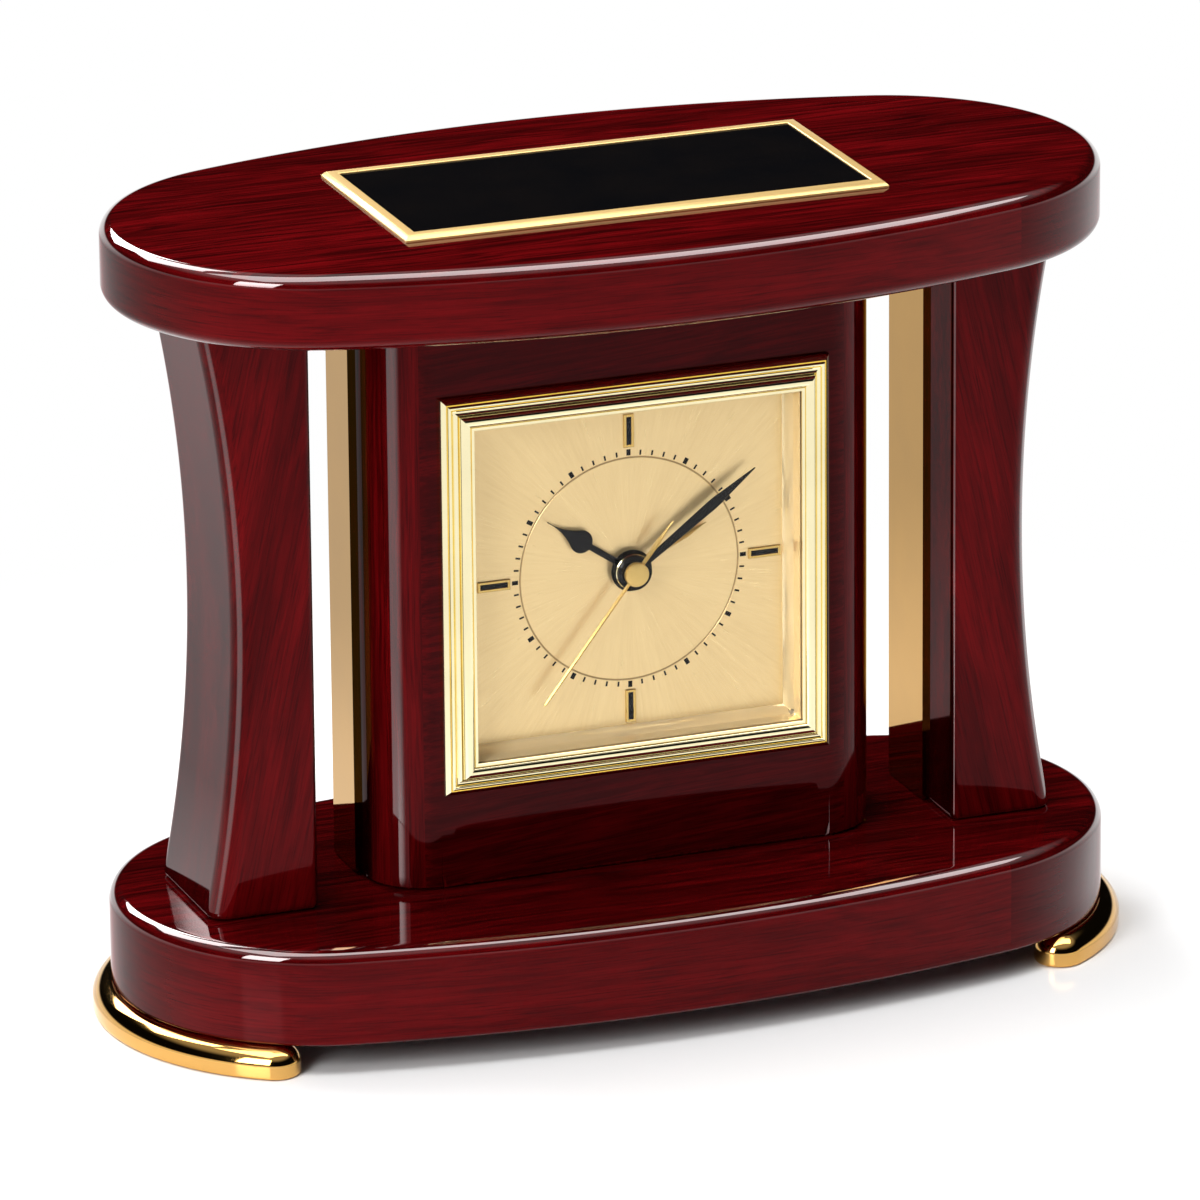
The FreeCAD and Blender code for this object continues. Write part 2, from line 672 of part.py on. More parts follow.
def case_screw_places():
    return [(sx * CASE_SCREW_AT, DIAL_Z + sz * CASE_SCREW_AT) for sx in (-1, 1) for sz in (-1, 1)]


def dial():
    half = SEAT_HALF - SEAT_GAP
    plate = slab(-half, half, DIAL_Y, DIAL_BACK, DIAL_Z - half, DIAL_Z + half)
    cuts = [disc(0, DIAL_Z, DIAL_HOLE_R, DIAL_Y - 1, DIAL_BACK + 1)]
    cuts += [disc(x, z, CASE_SCREW_R + CASE_SCREW_FIT, DIAL_Y - 1, DIAL_BACK + 1) for x, z in case_screw_places()]
    return plate.cut(cuts)


def batons(border, height, y_back):
    """Four hour markers at 12, 3, 6 and 9."""
    half = BATON_WIDTH / 2 - border
    shapes = []
    for quarter in range(4):
        bar = slab(-half, half, y_back - height, y_back, DIAL_Z + BATON_IN_R + border, DIAL_Z + BATON_OUT_R - border)
        bar.rotate(vec(0, 0, DIAL_Z), vec(0, 1, 0), 90 * quarter)
        shapes.append(bar)
    return shapes


def marker_frames():
    bars = batons(0, BATON_HEIGHT, DIAL_Y)
    holes = batons(BATON_BORDER, BATON_HEIGHT + 1, DIAL_Y + 0.5)
    return Part.makeCompound([bar.cut(hole) for bar, hole in zip(bars, holes)])


def marker_bars():
    return Part.makeCompound(batons(BATON_BORDER, BATON_BAR_HEIGHT, DIAL_Y))


# Insert case

def insert_case():
    """Round cup with a square flange behind the dial, a window for the movement and a switch slot."""
    half = SEAT_HALF - SEAT_GAP
    flange = slab(-half, half, DIAL_BACK, DIAL_BACK + CASE_FLANGE, DIAL_Z - half, DIAL_Z + half)
    cup = disc(0, DIAL_Z, CASE_R, DIAL_BACK + CASE_FLANGE, BOX_BACK_Y)
    hollow = disc(0, DIAL_Z, CASE_R - CASE_WALL, DIAL_BACK - 1, BOX_BACK_Y - CASE_BACK)
    window = slab(-BOX_HALF_W - BOX_FIT, BOX_HALF_W + BOX_FIT, DIAL_BACK, BOX_BACK_Y + 1,
                  BOX_BOTTOM - BOX_FIT, BOX_TOP + BOX_FIT)
    low = DIAL_Z - SWITCH_STEM_H / 2 - SWITCH_TRAVEL / 2 - SLIDE_FIT
    slot = slab(SWITCH_X - SWITCH_STEM_W / 2 - SLIDE_FIT, SWITCH_X + SWITCH_STEM_W / 2 + SLIDE_FIT,
                DIAL_BACK, BOX_BACK_Y + 1, low, DIAL_Z + SWITCH_STEM_H / 2 + SWITCH_TRAVEL / 2 + SLIDE_FIT)
    cuts = [hollow, window, slot]
    cuts += [disc(x, z, CASE_SCREW_R + CASE_SCREW_FIT, DIAL_BACK - 1, DIAL_BACK + CASE_FLANGE + 1)
             for x, z in case_screw_places()]
    for dx in (-2.5, 0, 2.5):
        cuts.append(disc(dx, DIAL_Z + BUZZER_RISE, BUZZER_HOLE_R, CAVITY_BACK - 1, BOX_BACK_Y + 1))
    return flange.fuse(cup).cut(cuts)


def grip_ring():
    """Rubber ring that holds the insert in its bore, with two ribs."""
    inner = CASE_R + RING_FIT
    rib = RING_WIDTH / 5
    y0, y1 = RING_FRONT_Y, RING_FRONT_Y + RING_WIDTH
    low = RING_R - rib
    outline = [(inner, y0), (RING_R, y0 + rib), (low, y0 + 2 * rib), (low, y1 - 2 * rib),
               (RING_R, y1 - rib), (inner, y1)]
    points = [vec(r, y, DIAL_Z) for r, y in outline + outline[:1]]
    return Part.Face(Part.makePolygon(points)).revolve(vec(0, 0, DIAL_Z), vec(0, 1, 0), 360)


def case_screws():
    """Small round-headed screws that clamp the dial between the case and the inner frame."""
    back = DIAL_BACK + CASE_FLANGE
    shapes = []
    for x, z in case_screw_places():
        head = disc(x, z, CASE_SCREW_HEAD_R, back, back + CASE_SCREW_HEAD_H)
        shank = disc(x, z, CASE_SCREW_R, back - CASE_SCREW_GRIP + SLIDE_FIT, back)
        shapes.append(head.fuse(shank))
    return Part.makeCompound(shapes)


# Movement box

def gear_centres():
    """Arbor places in X and Z, worked out from the tooth counts and modules."""
    half_motion = MOTION_MODULE / 2
    train = CENTRE_MODULE * (CENTRE_Z + THIRD_PINION_Z) / 2
    places = {"centre": (0.0, DIAL_Z)}
    places["third"] = around_dial(THIRD_ANGLE, train)
    reach = SECOND_MODULE * (SECOND_Z + INTERMEDIATE_PINION_Z) / 2
    places["intermediate"] = around_dial(INTERMEDIATE_ANGLE, reach)
    places["rotor"] = beside(places["intermediate"], ROTOR_ANGLE,
                             ROTOR_MODULE * (INTERMEDIATE_Z + ROTOR_PINION_Z) / 2)
    places["minute"] = around_dial(MOTION_ANGLE, half_motion * (CANNON_Z + MINUTE_Z))
    places["set"] = beside(places["minute"], SET_ANGLE, half_motion * (MINUTE_Z + SET_PINION_Z))
    places["alarm_set"] = around_dial(ALARM_SET_ANGLE, half_motion * (ALARM_Z + ALARM_SET_Z))
    return places


def beside(place, angle, distance):
    turn = math.radians(angle)
    return place[0] + distance * math.cos(turn), place[1] + distance * math.sin(turn)


def movement_front():
    """Front plate with the bearing holes, the motion-work stud and four snap tabs."""
    places = gear_centres()
    y1 = DIAL_BACK + BOX_FRONT_PLATE
    plate = slab(-BOX_HALF_W, BOX_HALF_W, DIAL_BACK, y1, BOX_BOTTOM, BOX_TOP)
    stud_end = MINUTE_LAYER_Y + WHEEL_THICK + PINION_OVERHANG + RUNNING_FIT
    shapes = [plate, disc(*places["minute"], STUD_R, DIAL_BACK, stud_end)]
    inside = BOX_HALF_W - BOX_WALL
    for side in (-1, 1):
        for z in (DIAL_Z - CAVITY_DROP + TAB_WIDTH, BOX_TOP - BOX_WALL - TAB_WIDTH):
            x0, x1 = sorted((side * inside, side * (inside - TAB_THICK)))
            shapes.append(slab(x0, x1, y1, y1 + TAB_DEPTH, z - TAB_WIDTH / 2, z + TAB_WIDTH / 2))
    solid = fused(shapes)
    cuts = [disc(0, DIAL_Z, ALARM_PIPE_R + RUNNING_FIT, DIAL_BACK - 1, y1 + 1)]
    for name in ("third", "intermediate", "rotor", "set", "alarm_set"):
        cuts.append(disc(*places[name], HUB_R, DIAL_BACK + ARBOR_END_GAP, y1 + 1))
    return solid.cut(cuts)


def movement_back():
    """Deep rear shell: the gear cavity above, the battery bay below and bearing holes in its back."""
    places = gear_centres()
    y0 = DIAL_BACK + BOX_FRONT_PLATE
    inside = BOX_HALF_W - BOX_WALL
    box = slab(-BOX_HALF_W, BOX_HALF_W, y0, BOX_BACK_Y, BOX_BOTTOM, BOX_TOP)
    cavity = slab(-inside, inside, y0 - 1, CAVITY_BACK, DIAL_Z - CAVITY_DROP - 1.5, BOX_TOP - BOX_WALL)
    front_room = slab(-inside, inside, y0 - 1, CELL_Y - BAY_R - BOX_WALL, BOX_BOTTOM + BOX_WALL, DIAL_Z)
    bay = Part.makeCylinder(BAY_R, 2 * BAY_HALF, vec(-BAY_HALF, CELL_Y, CELL_Z), vec(1, 0, 0))
    mouth = slab(-BAY_HALF, BAY_HALF, CELL_Y, BOX_BACK_Y + 1, CELL_Z - BAY_R, CELL_Z + BAY_R)
    seat = slab(-BAY_HALF - COVER_LEDGE, BAY_HALF + COVER_LEDGE, COVER_SEAT, BOX_BACK_Y + 1,
                CELL_Z - BAY_R - COVER_LEDGE, CELL_Z + BAY_R + COVER_LEDGE)
    solid = box.cut([cavity, front_room])
    solid = solid.cut([bay, mouth, seat])
    cuts = []
    for name in ("centre", "third", "intermediate", "rotor"):
        cuts.append(disc(*places[name], HUB_R, CAVITY_BACK - 1, CAVITY_BACK + BOX_BACK_PLATE / 2))
    for name in ("set", "alarm_set"):
        cuts.append(disc(*places[name], HUB_R, CAVITY_BACK - 1, BOX_BACK_Y + 1))
    return solid.cut(cuts)


def battery_cover():
    """Flush lid with a finger groove."""
    half = BAY_HALF + COVER_LEDGE - COVER_FIT
    drop = BAY_R + COVER_LEDGE - COVER_FIT
    lid = slab(-half, half, COVER_SEAT, BOX_BACK_Y, CELL_Z - drop, CELL_Z + drop)
    start = vec(half - COVER_GROOVE_MARGIN - COVER_GROOVE_LENGTH, BOX_BACK_Y + COVER_GROOVE_R - COVER_GROOVE_DEPTH, CELL_Z)
    groove = Part.makeCylinder(COVER_GROOVE_R, COVER_GROOVE_LENGTH, start, vec(1, 0, 0))
    return lid.cut(groove)


def cell_end():
    """Positive end of the battery's body."""
    return BAY_HALF - CONTACT_THICK - NUB_LENGTH


def battery():
    end = cell_end()
    body = Part.makeCylinder(CELL_R, CELL_LENGTH, vec(end - CELL_LENGTH, CELL_Y, CELL_Z), vec(1, 0, 0))
    nub = Part.makeCylinder(NUB_R, NUB_LENGTH, vec(end, CELL_Y, CELL_Z), vec(1, 0, 0))
    return body.fuse(nub)


def contact_plus():
    half = CONTACT_HALF_H
    return slab(BAY_HALF - CONTACT_THICK, BAY_HALF, CELL_Y - half, CELL_Y + half / 2, CELL_Z - half, CELL_Z + half)


def contact_minus():
    """Bent strip: a flat foot on the bay's wall and a bowed leaf that presses on the battery."""
    x0 = -BAY_HALF
    x1 = cell_end() - CELL_LENGTH
    t, half = CONTACT_THICK, CONTACT_HALF_H
    y0, y1 = CELL_Y - half, CELL_Y + half / 2
    middle = (y0 + y1) / 2
    outline = [(x0, y0), (x1 - t, middle - t), (x1, middle - t), (x1, middle + t), (x1 - t, middle + t),
               (x0 + t, y1 - t), (x0 + t, y1), (x0, y1), (x0, y1 - 2 * t), (x1 - 2 * t, middle),
               (x0, y0 + 2 * t)]
    points = [vec(x, y, CELL_Z - half / 2) for x, y in outline + outline[:1]]
    return Part.Face(Part.makePolygon(points)).extrude(vec(0, 0, half))


# Gears

def toothed(place, teeth, module, y0, y1, phase):
    """Straight-flanked teeth on a disc: thin tips and wide valleys leave the backlash that a clock
    train has. The phase is the first tooth's angle in radians from +X towards +Z."""
    pitch = 2 * math.pi / teeth
    root = module * (teeth / 2 - 1.15)
    tip = module * (teeth / 2 + 0.8)
    foot_half = 0.25 * pitch
    tip_half = 0.09 * pitch * (teeth / 2) / (teeth / 2 + 0.8)
    points = []
    for tooth in range(teeth):
        middle = phase + tooth * pitch
        for radius, offset in ((root, -foot_half), (tip, -tip_half), (tip, tip_half), (root, foot_half)):
            angle = middle + offset
            points.append((place[0] + radius * math.cos(angle), place[1] + radius * math.sin(angle)))
    return prism_y(points, y0, y1)


def meshed_phase(place_a, teeth_a, phase_a, place_b, teeth_b):
    """Phase that puts a valley of gear b on a tooth of gear a along the line of centres."""
    line = math.atan2(place_b[1] - place_a[1], place_b[0] - place_a[0])
    share = (line - phase_a) * teeth_a / (2 * math.pi)
    return line + math.pi - (0.5 - share) * 2 * math.pi / teeth_b


def wheel(place, teeth, module, y, phase):
    return toothed(place, teeth, module, y, y + WHEEL_THICK, phase)


def pinion(place, teeth, module, y, phase):
    return toothed(place, teeth, module, y - PINION_OVERHANG, y + WHEEL_THICK + PINION_OVERHANG, phase)


def arbor(place, y0, y1):
    return disc(*place, ARBOR_R, y0, y1)


def arbor_front():
    return DIAL_BACK + 2 * ARBOR_END_GAP


def arbor_back():
    return CAVITY_BACK + BOX_BACK_PLATE / 2 - ARBOR_END_GAP


def spacer(place, y0, y1):
    """Boss that joins a wheel to the pinion beside it."""
    return disc(*place, 2 * ARBOR_R, y0, y1)


def second_wheel():
    place = gear_centres()["centre"]
    y_wheel, y_pinion = SECOND_LAYER_Y, THIRD_LAYER_Y
    return fused([
        wheel(place, SECOND_Z, SECOND_MODULE, y_wheel, 0.0),
        pinion(place, SECOND_PINION_Z, third_module(), y_pinion, 0.0),
        spacer(place, y_pinion + WHEEL_THICK, y_wheel),
        arbor(place, SECOND_HAND_Y, arbor_back()),
    ])


def third_module():
    """Module of the third wheel, so that both of its meshes share one centre distance."""
    return CENTRE_MODULE * (CENTRE_Z + THIRD_PINION_Z) / (THIRD_Z + SECOND_PINION_Z)


def third_wheel():
    places = gear_centres()
    place = places["third"]
    phase = meshed_phase(places["centre"], SECOND_PINION_Z, 0.0, place, THIRD_Z)
    return fused([
        wheel(place, THIRD_Z, third_module(), THIRD_LAYER_Y, phase),
        pinion(place, THIRD_PINION_Z, CENTRE_MODULE, CENTRE_LAYER_Y, 0.0),
        spacer(place, CENTRE_LAYER_Y + WHEEL_THICK, THIRD_LAYER_Y),
        arbor(place, arbor_front(), arbor_back()),
    ])


def centre_wheel():
    """Friction-driven wheel on the minute pipe's tail."""
    places = gear_centres()
    place = places["centre"]
    phase = meshed_phase(places["third"], THIRD_PINION_Z, 0.0, place, CENTRE_Z)
    solid = wheel(place, CENTRE_Z, CENTRE_MODULE, CENTRE_LAYER_Y, phase)
    return solid.cut(disc(*place, MINUTE_PIPE_R + RUNNING_FIT, CENTRE_LAYER_Y - 1, CENTRE_LAYER_Y + 2))


def intermediate_wheel():
    places = gear_centres()
    place = places["intermediate"]
    phase = meshed_phase(places["centre"], SECOND_Z, 0.0, place, INTERMEDIATE_PINION_Z)
    return fused([
        wheel(place, INTERMEDIATE_Z, ROTOR_MODULE, INTERMEDIATE_LAYER_Y, 0.0),
        pinion(place, INTERMEDIATE_PINION_Z, SECOND_MODULE, SECOND_LAYER_Y, phase),
        spacer(place, SECOND_LAYER_Y + WHEEL_THICK, INTERMEDIATE_LAYER_Y),
        arbor(place, arbor_front(), arbor_back()),
    ])


def rotor():
    """Pinion on the arbor of the round magnet."""
    places = gear_centres()
    place = places["rotor"]
    phase = meshed_phase(places["intermediate"], INTERMEDIATE_Z, 0.0, place, ROTOR_PINION_Z)
    return fused([
        pinion(place, ROTOR_PINION_Z, ROTOR_MODULE, INTERMEDIATE_LAYER_Y, phase),
        disc(*place, MAGNET_R, MAGNET_Y + ARBOR_END_GAP, MAGNET_Y + ARBOR_END_GAP + MAGNET_LENGTH),
        arbor(place, arbor_front(), arbor_back()),
    ])


def minute_pipe():
    """Pipe that carries the minute hand, with the cannon pinion at its tail."""
    place = gear_centres()["centre"]
    tail = CENTRE_LAYER_Y + WHEEL_THICK + PINION_OVERHANG
    solid = fused([
        disc(*place, MINUTE_PIPE_R, MINUTE_HAND_Y, tail),
        pinion(place, CANNON_Z, MOTION_MODULE, MINUTE_LAYER_Y, 0.0),
    ])
    return solid.cut(disc(*place, HUB_R, MINUTE_HAND_Y - 1, tail + 1))


def minute_wheel():
    """Motion-work wheel on the fixed stud, with the pinion that drives the hour wheel."""
    places = gear_centres()
    place = places["minute"]
    phase = meshed_phase(places["centre"], CANNON_Z, 0.0, place, MINUTE_Z)
    solid = fused([
        wheel(place, MINUTE_Z, MOTION_MODULE, MINUTE_LAYER_Y, phase),
        pinion(place, MINUTE_PINION_Z, MOTION_MODULE, HOUR_LAYER_Y, 0.0),
        disc(*place, STUD_R + 2 * RUNNING_FIT, HOUR_LAYER_Y, MINUTE_LAYER_Y),
    ])
    return solid.cut(disc(*place, STUD_R + RUNNING_FIT, HOUR_LAYER_Y - 1, MINUTE_LAYER_Y + 2))


def hour_wheel():
    places = gear_centres()
    place = places["centre"]
    phase = meshed_phase(places["minute"], MINUTE_PINION_Z, 0.0, place, HOUR_Z)
    solid = fused([
        wheel(place, HOUR_Z, MOTION_MODULE, HOUR_LAYER_Y, phase),
        disc(*place, HOUR_PIPE_R, HOUR_HAND_Y, HOUR_LAYER_Y + WHEEL_THICK),
    ])
    return solid.cut(disc(*place, MINUTE_PIPE_R + RUNNING_FIT, HOUR_HAND_Y - 1, HOUR_LAYER_Y + 2))


def alarm_wheel():
    place = gear_centres()["centre"]
    solid = fused([
        wheel(place, ALARM_Z, MOTION_MODULE, ALARM_LAYER_Y, 0.0),
        disc(*place, ALARM_PIPE_R, ALARM_HAND_Y, ALARM_LAYER_Y + WHEEL_THICK),
    ])
    return solid.cut(disc(*place, HOUR_PIPE_R + RUNNING_FIT, ALARM_HAND_Y - 1, ALARM_LAYER_Y + 2))


def knob(place):
    """Fluted knob behind the movement's back."""
    y0 = BOX_BACK_Y + KNOB_GAP
    solid = disc(*place, KNOB_R, y0, y0 + KNOB_LENGTH)
    flutes = []
    for step in range(KNOB_FLUTES):
        x, z = beside(place, 360 * step / KNOB_FLUTES, KNOB_R + KNOB_FLUTE_R / 4)
        flutes.append(disc(x, z, KNOB_FLUTE_R, y0 - 1, y0 + KNOB_LENGTH + 1))
    return solid.cut(flutes)


def time_knob():
    """Knob, arbor and setting pinion, which turns the minute wheel."""
    places = gear_centres()
    place = places["set"]
    wheel_phase = meshed_phase(places["centre"], CANNON_Z, 0.0, places["minute"], MINUTE_Z)
    phase = meshed_phase(places["minute"], MINUTE_Z, wheel_phase, place, SET_PINION_Z)
    return fused([
        knob(place),
        arbor(place, arbor_front(), BOX_BACK_Y + KNOB_GAP),
        pinion(place, SET_PINION_Z, MOTION_MODULE, MINUTE_LAYER_Y, phase),
    ])


def alarm_knob():
    """Knob, arbor and setting wheel, which turns the alarm wheel."""
    places = gear_centres()
    place = places["alarm_set"]
    phase = meshed_phase(places["centre"], ALARM_Z, 0.0, place, ALARM_SET_Z)
    return fused([
        knob(place),
        arbor(place, arbor_front(), BOX_BACK_Y + KNOB_GAP),
        wheel(place, ALARM_SET_Z, MOTION_MODULE, ALARM_LAYER_Y, phase),
    ])


# Coil, stator and electronics

def coil_ends():
    """Where the coil starts beside the rotor and where it ends, in X."""
    start = gear_centres()["rotor"][0] + 2 * STATOR_HOLE_R + CORE_WIDTH
    return start, BOX_HALF_W - BOX_WALL - CORE_WIDTH - 2 * SLIDE_FIT


def stator():
    """Flat iron with the rotor's hole, a return arm and the bar that passes through the coil."""
    x, z = gear_centres()["rotor"]
    y0, y1 = STATOR_Y, STATOR_Y + STATOR_THICK
    start, end = coil_ends()
    rise = DIAL_Z + COIL_RISE
    low = z - STATOR_HOLE_R - CORE_WIDTH
    pole = slab(x - STATOR_HOLE_R - CORE_WIDTH, start, y0, y1, low, z + STATOR_HOLE_R + 0.8)
    bar = slab(start, end, y0, y1, rise - CORE_WIDTH / 2, rise + CORE_WIDTH / 2)
    arm = slab(start, end + CORE_WIDTH, y0, y1, low, low + CORE_WIDTH)
    back = slab(end, end + CORE_WIDTH, y0, y1, low, rise + CORE_WIDTH / 2)
    return fused([pole, bar, arm, back]).cut(disc(x, z, STATOR_HOLE_R, y0 - 1, y1 + 1))


def coil():
    """Copper winding between two cheeks, round the stator's bar."""
    start, end = coil_ends()
    rise = DIAL_Z + COIL_RISE
    middle = STATOR_Y + STATOR_THICK / 2
    cheek = 1.0
    x0, x1 = start + SLIDE_FIT, end - SLIDE_FIT
    shapes = [Part.makeCylinder(COIL_R - 0.4, x1 - x0, vec(x0, middle, rise), vec(1, 0, 0))]
    for x in (x0, x1 - cheek):
        shapes.append(Part.makeCylinder(COIL_R, cheek, vec(x, middle, rise), vec(1, 0, 0)))
    hole = slab(x0 - 1, x1 + 1, STATOR_Y - SLIDE_FIT, STATOR_Y + STATOR_THICK + SLIDE_FIT,
                rise - CORE_WIDTH / 2 - SLIDE_FIT, rise + CORE_WIDTH / 2 + SLIDE_FIT)
    return fused(shapes).cut(hole)


def board_edges():
    """Circuit board's extent in X and Z, on the right of the cavity."""
    right = BOX_HALF_W - BOX_WALL - SLIDE_FIT
    x, z = gear_centres()["alarm_set"]
    return x + 2 * ARBOR_R, right, z + 3.0, DIAL_Z + COIL_RISE - COIL_R - 3.0


def circuit_board():
    x0, x1, z0, z1 = board_edges()
    return slab(x0, x1, CAVITY_BACK - BOARD_THICK, CAVITY_BACK, z0, z1)


def driver_chip():
    """Drop of black resin over the driver."""
    x0, x1, z0, z1 = board_edges()
    return disc((x0 + x1) / 2, z0 + 3.2, 2.4, CAVITY_BACK - BOARD_THICK - 0.8, CAVITY_BACK - BOARD_THICK)


def quartz_crystal():
    x0, x1, z0, z1 = board_edges()
    y = CAVITY_BACK - BOARD_THICK - CRYSTAL_R
    return Part.makeCylinder(CRYSTAL_R, CRYSTAL_LENGTH, vec((x0 + x1) / 2 - CRYSTAL_LENGTH / 2, y, z1 - 2.0),
                             vec(1, 0, 0))


def buzzer():
    y1 = BOX_BACK_Y - CASE_BACK
    return disc(0, DIAL_Z + BUZZER_RISE, BUZZER_R, y1 - BUZZER_THICK, y1)


def alarm_switch():
    """Slider: a flange inside the case, a stem through the slot and a ridged button behind it."""
    z0 = DIAL_Z - SWITCH_TRAVEL / 2
    wall = BOX_BACK_Y - CASE_BACK - SLIDE_FIT / 2
    flange = slab(SWITCH_X - SWITCH_FLANGE_W / 2, SWITCH_X + SWITCH_FLANGE_W / 2, wall - SWITCH_FLANGE_T, wall,
                  z0 - SWITCH_FLANGE_H / 2, z0 + SWITCH_FLANGE_H / 2)
    stem = slab(SWITCH_X - SWITCH_STEM_W / 2, SWITCH_X + SWITCH_STEM_W / 2, wall, BOX_BACK_Y + SWITCH_PROUD,
                z0 - SWITCH_STEM_H / 2, z0 + SWITCH_STEM_H / 2)
    ridge = BOX_BACK_Y + SWITCH_PROUD
    grooves = [slab(SWITCH_X - SWITCH_STEM_W, SWITCH_X + SWITCH_STEM_W, ridge - 0.5, ridge + 1,
                    z0 + step - 0.3, z0 + step + 0.3) for step in (-1.2, 0.0, 1.2)]
    return flange.fuse(stem).cut(grooves)


# Hands

def turned(shape, degrees):
    """Turns a hand from the top of the dial, clockwise as seen from the front."""
    shape.rotate(vec(0, 0, DIAL_Z), vec(0, 1, 0), degrees)
    return shape


def blade(pieces, y_back, thick):
    """Flat hand drawn as its right-hand edge from the hub to the tip, mirrored to the left. Each piece
    is a line of two points or an arc of three, in distance right of the middle line and up from the hub."""
    def place(point, side):
        return vec(side * point[0], y_back - thick, DIAL_Z + point[1])
    edges = []
    for side in (1, -1):
        for piece in pieces:
            ends = [place(point, side) for point in piece]
            edges.append(Part.makeLine(*ends) if len(ends) == 2 else Part.Arc(*ends).toShape())
    start = pieces[0][0]
    edges.append(Part.makeLine(place(start, -1), place(start, 1)))
    wire = Part.Wire(Part.__sortEdges__(edges))
    return Part.Face(wire).extrude(vec(0, thick, 0))


def hour_hand():
    """Spade hand: a slim stem, a round shoulder and a hollow-sided point, with the gold bush on its boss."""
    bulb_at, bulb_r, stem = 15.0, 2.75, 0.72
    low = bulb_at - math.sqrt(bulb_r ** 2 - stem ** 2)
    lean = math.radians(38)
    shoulder = (bulb_r * math.cos(lean), bulb_at + bulb_r * math.sin(lean))
    flat = blade([
        [(stem, 0), (stem, low)],
        [(stem, low), (bulb_r, bulb_at), shoulder],
        [shoulder, (0.78, bulb_at + 4.6), (0.12, HOUR_TIP_R)],
        [(0.12, HOUR_TIP_R), (0, HOUR_TIP_R + 0.1)],
    ], HOUR_HAND_Y, HAND_THICK)
    front = HOUR_HAND_Y - HAND_THICK
    solid = fused([flat, disc(0, DIAL_Z, HOUR_BOSS_R, front, HOUR_HAND_Y)])
    return turned(solid.cut(disc(0, DIAL_Z, HOUR_PIPE_HOLE, front - 1, HOUR_HAND_Y + 1)), HOUR_DEG)


HOUR_PIPE_HOLE = MINUTE_PIPE_R + RUNNING_FIT


def hour_bush():
    """Gold collar on the hour hand."""
    return tube(0, DIAL_Z, BUSH_R, HOUR_PIPE_HOLE, BUSH_FRONT, HOUR_HAND_Y - HAND_THICK)


def minute_hand():
    """Long leaf hand, widest past half way, on a black boss."""
    flat = blade([
        [(0.75, 0), (1.3, 24.0)],
        [(1.3, 24.0), (1.02, 27.5)],
        [(1.02, 27.5), (0.1, MINUTE_TIP_R)],
        [(0.1, MINUTE_TIP_R), (0, MINUTE_TIP_R + 0.1)],
    ], MINUTE_HAND_Y, HAND_THICK)
    solid = fused([flat, disc(0, DIAL_Z, MINUTE_BOSS_R, MINUTE_FRONT, MINUTE_HAND_Y)])
    return turned(solid.cut(disc(0, DIAL_Z, HUB_R, MINUTE_FRONT - 1, MINUTE_HAND_Y + 1)), MINUTE_DEG)


def second_hand():
    """Gold needle with a leaf-shaped tail and a round cap."""
    y0 = SECOND_HAND_Y - HAND_THICK
    needle = blade([
        [(0.42, 0), (0.36, SECOND_TIP_R - 0.6)],
        [(0.36, SECOND_TIP_R - 0.6), (0, SECOND_TIP_R)],
    ], SECOND_HAND_Y, HAND_THICK)
    tail = blade([
        [(0.42, 0), (0.6, SECOND_TAIL_R * 0.6)],
        [(0.6, SECOND_TAIL_R * 0.6), (0, SECOND_TAIL_R)],
    ], SECOND_HAND_Y, HAND_THICK)
    tail.rotate(vec(0, y0, DIAL_Z), vec(0, 1, 0), 180)
    cap = disc(0, DIAL_Z, CAP_R, CAP_FRONT, SECOND_HAND_Y)
    rim = [e for e in cap.Edges if e.BoundBox.YMax < CAP_FRONT + 0.01]
    cap = cap.makeChamfer(0.25, rim)
    return turned(fused([needle, tail, cap]), SECOND_DEG)


def alarm_hand():
    """Short gold lance behind the hour hand."""
    y0 = ALARM_HAND_Y - HAND_THICK
    flat = blade([
        [(0.45, 0), (0.75, ALARM_TIP_R * 0.75)],
        [(0.75, ALARM_TIP_R * 0.75), (0, ALARM_TIP_R)],
    ], ALARM_HAND_Y, HAND_THICK)
    solid = fused([flat, disc(0, DIAL_Z, ALARM_BOSS_R, y0, ALARM_HAND_Y)])
    return turned(solid.cut(disc(0, DIAL_Z, HOUR_PIPE_R + RUNNING_FIT, y0 - 1, ALARM_HAND_Y + 1)), ALARM_DEG)


